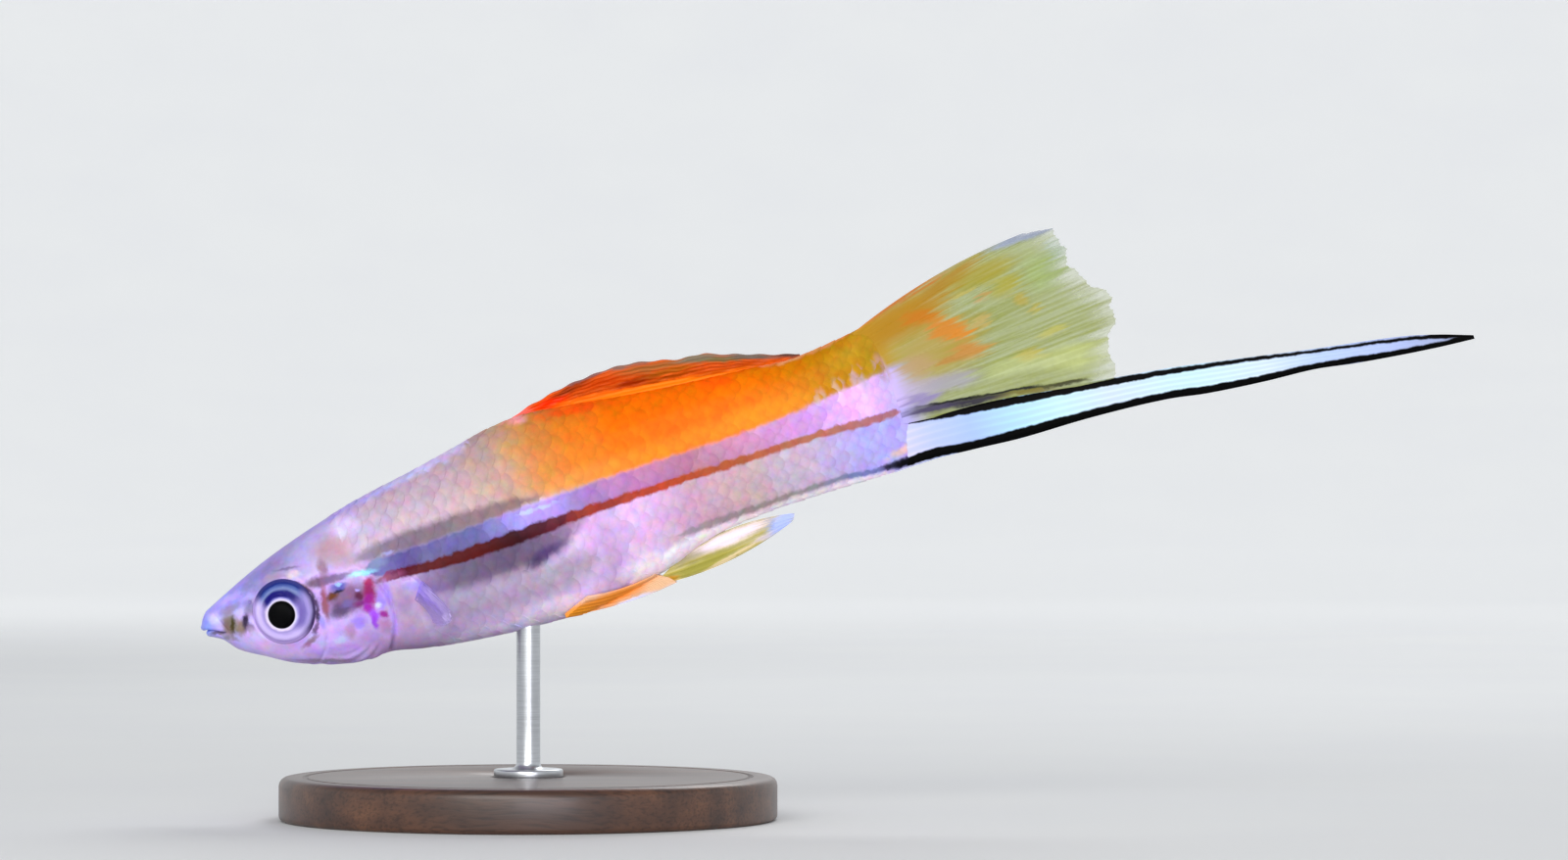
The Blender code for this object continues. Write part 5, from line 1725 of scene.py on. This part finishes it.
def turned(name, profile, sides):
    """A closed solid of revolution. The profile runs from the axis below to the axis above."""
    rings = len(profile) - 1
    piece = fresh(bpy.ops.mesh.primitive_uv_sphere_add, name, segments=sides, ring_count=rings, radius=1)
    ball = points_of(piece.data)
    ring = np.rint(np.arccos(np.clip(-ball[:, 2], -1, 1)) / math.pi * rings).astype(int)
    bearing = np.arctan2(ball[:, 1], ball[:, 0])
    radius, height = np.array(profile)[ring].T
    spun = np.stack([radius * np.cos(bearing), radius * np.sin(bearing), height], axis=-1)
    place_points(piece.data, MM * spun)
    face_outwards(piece)
    return piece


# The disc has a fine groove near its edge and a recess for the flange. All sizes are in millimetres.
disc_profile = [
    (0, 0), (22.2, 0), *rounded(22.5, 0.5, 0.5, -80, 0), *rounded(22.2, 3.2, 0.8, 0, 90), (20.9, 4.0)
]
disc_profile += [
    *rounded(20.55, 4.0, 0.25, 0, -180), (20.2, 4.0), (3.6, 4.0), (3.5, 3.9), (3.5, 3.3), (0, 3.3)
]
disc = turned("stand_disc", disc_profile, 160)
# The rod stands on its flange, with a small hollow curve between the two.
rod_profile = [(0, 3.3), (3.1, 3.3), (3.2, 3.4), *rounded(3.0, 4.5, 0.2, 0, 90), (1.7, 4.7)]
rod_profile += [*rounded(1.7, 5.3, 0.6, -90, -180), (ROD_RADIUS, 9), (ROD_RADIUS, 14)]
rod_profile += [(ROD_RADIUS, ROD_TOP), (0, ROD_TOP)]
post = turned("stand_post", rod_profile, 64)

# %% [markdown]
# Walnut shows long fibres, some darker, and fine open pores along them. All run one way through the disc,
# so the noise is stretched along X. Steel polished on a lathe keeps fine rings around its axis.

# %% Walnut
wood = new_material("turned walnut, satin varnish")
place = add(wood, "TexCoord").outputs["Object"]
waves = add(wood, "TexNoise", {"Vector": place, "Scale": 40.0, "Detail": 2.0})
bend = add(wood, "VectorMath", {0: waves.outputs["Color"], "Scale": 0.004}, operation="SCALE")
bent = add(wood, "VectorMath", {0: place, 1: bend.outputs[0]}, operation="ADD")
# Fibres about 83 mm long and 2.4 mm wide, and pores 6 mm long and a quarter of a millimetre wide.
fibre_place = add(wood, "Mapping", {"Vector": bent.outputs[0], "Scale": (12, 420, 420)})
fibres = add(
    wood, "TexNoise", {"Vector": fibre_place.outputs[0], "Scale": 1.0, "Detail": 5.0, "Roughness": 0.6}
)
pore_place = add(wood, "Mapping", {"Vector": bent.outputs[0], "Scale": (160, 4200, 4200)})
pores = add(wood, "TexNoise", {"Vector": pore_place.outputs[0], "Scale": 1.0, "Detail": 2.0})
wood_colour = add(wood, "ValToRGB", {"Fac": fibres.outputs[0]})
set_ramp(wood_colour, (0.3, "38231a"), (0.46, "492e20"), (0.56, "543524"), (0.72, "69452e"))
pore_dark = add(
    wood, "MapRange",
    {"Value": pores.outputs[0], "From Min": 0.36, "From Max": 0.5, "To Min": 0.6, "To Max": 1.0},
)
grained = add(
    wood, "VectorMath", {0: wood_colour.outputs[0], "Scale": pore_dark.outputs[0]}, operation="SCALE"
)
wood_bump = add(wood, "Bump", {"Height": pores.outputs[0], "Strength": 0.2, "Distance": 0.00005})
wood_shader = add(
    wood, "BsdfPrincipled",
    {
        "Base Color": grained.outputs[0], "Roughness": 0.45, "Coat Weight": 0.3, "Coat Roughness": 0.22,
        "Normal": wood_bump.outputs[0],
    },
)
add(wood, "OutputMaterial", {"Surface": wood_shader.outputs[0]})

# %% Steel
# The rings left by the lathe are about 0.11 mm apart.
steel = new_material("turned stainless steel, satin polish")
place = add(steel, "TexCoord").outputs["Object"]
ring_place = add(steel, "Mapping", {"Vector": place, "Scale": (300, 300, 9000)})
rings = add(steel, "TexNoise", {"Vector": ring_place.outputs[0], "Scale": 1.0, "Detail": 3.0})
steel_tone = add(steel, "ValToRGB", {"Fac": rings.outputs[0]})
set_ramp(steel_tone, (0.3, "b9bcc0"), (0.7, "cdd0d4"))
steel_rough = add(steel, "MapRange", {"Value": rings.outputs[0], "To Min": 0.24, "To Max": 0.4})
steel_bump = add(steel, "Bump", {"Height": rings.outputs[0], "Strength": 0.1, "Distance": 0.00001})
steel_shader = add(
    steel, "BsdfPrincipled",
    {
        "Base Color": steel_tone.outputs[0], "Metallic": 1.0, "Roughness": steel_rough.outputs[0],
        "Normal": steel_bump.outputs[0],
    },
)
add(steel, "OutputMaterial", {"Surface": steel_shader.outputs[0]})

# %% Dress the stand
finish_piece(disc, "stand_wood", wood, "stand_base")
finish_piece(post, "stand_steel", steel, "stand_rod")

# %% [markdown]
# ## Floor, light and camera
#
# The floor is a wide bowl of pale paper. It is flat under the stand and rises far outside the place of any
# camera, so it is the backdrop too, from every side.

# %% Floor and backdrop
# The bowl is flat to 1.3 m from the middle and 1.4 m high at its rim. Its sizes are in millimetres.
FLAT_FLOOR = 1300
BACKDROP_THICK = 20
backdrop_z = smooth_line(
    (0, 0), (FLAT_FLOOR, 0), (1600, 50), (1900, 180), (2200, 450), (2400, 850), (2450, 1400)
)
rim_radii = (2450, 2430, 2400, 2350, *range(2300, 1250, -50), 900, 500)
rims = [(radius, float(backdrop_z(radius))) for radius in rim_radii]
outside = [(0, -BACKDROP_THICK), (2500, -BACKDROP_THICK), (2500, 1400)]
floor = turned("floor", [*outside, *rims, (0, 0)], 120)
bpy.ops.object.shade_smooth()
paper = new_material("matt backdrop paper")
place = add(paper, "TexCoord").outputs["Object"]
# Soft clouds of 40 mm, as in a pulp that isn't quite even.
paper_grain = add(paper, "TexNoise", {"Vector": place, "Scale": 25.0, "Detail": 2.0})
paper_tone = add(paper, "ValToRGB", {"Fac": paper_grain.outputs[0]})
set_ramp(paper_tone, (0.3, "dddedf"), (0.7, "dfe0e0"))
# The lamps reach only the middle, so the paper further out glows a little, as if lit by lamps of its own.
# The glow grows from 0.36 m to 0.76 m off.
far_out = add(paper, "VectorMath", {0: place}, operation="LENGTH")
glow = add(
    paper, "MapRange",
    {"Value": far_out.outputs["Value"], "From Min": 0.36, "From Max": 0.76, "To Max": 0.56},
    interpolation_type="SMOOTHSTEP",
)
paper_shader = add(
    paper, "BsdfPrincipled",
    {
        "Base Color": paper_tone.outputs[0], "Roughness": 0.9,
        "Emission Color": paper_tone.outputs[0], "Emission Strength": glow.outputs[0],
    },
)
add(paper, "OutputMaterial", {"Surface": paper_shader.outputs[0]})
floor.data.materials.append(paper)

# %% [markdown]
# A large soft light shines from above and in front, a weaker one lifts the shadows, and a third draws the
# edge of the back. They are close and soft, as for a small thing on a table, and hidden from the camera.

# %% Lights
AIM = Vector((0.02, 0, 0.03))


def soft_light(name, place, width, watts, colour):
    bpy.ops.object.light_add(type="AREA", location=place)
    light = bpy.context.object
    light.name = name
    light.rotation_euler = (AIM - Vector(place)).to_track_quat("-Z", "Y").to_euler()
    light.data.size = width
    light.data.energy = watts
    light.data.color = linear(colour)[:3]
    light.visible_camera = False


soft_light("key", (-0.15, -0.6, 0.28), 0.4, 2.25, "fffdf8")
soft_light("fill", (0.12, -0.65, 0.06), 0.3, 1.6, "f8f6ff")
soft_light("rim", (0.15, 0.4, 0.4), 0.3, 1.2, "ffffff")
world = bpy.data.worlds.new("soft room")
world.use_nodes = True
world.node_tree.nodes["Background"].inputs[0].default_value = linear("e6ebf2")
world.node_tree.nodes["Background"].inputs[1].default_value = 0.4
bpy.context.scene.world = world
bpy.context.scene.view_settings.view_transform = "Standard"

# %% [markdown]
# The photo looks at the fish's left side, level with it and from far away. So the camera is a long lens
# 0.6 m off, and its frame is 145 mm wide there, which puts the fish where it is in the photo.

# %% Camera
# The lens is in millimetres, and the places are in metres.
bpy.ops.object.camera_add(location=(0.0236, -0.6, 0.036), rotation=(math.pi / 2, 0, 0))
camera = bpy.context.object
camera.data.lens = 149.2
camera.data.clip_start = 0.01
camera.data.clip_end = 10
bpy.context.scene.camera = camera
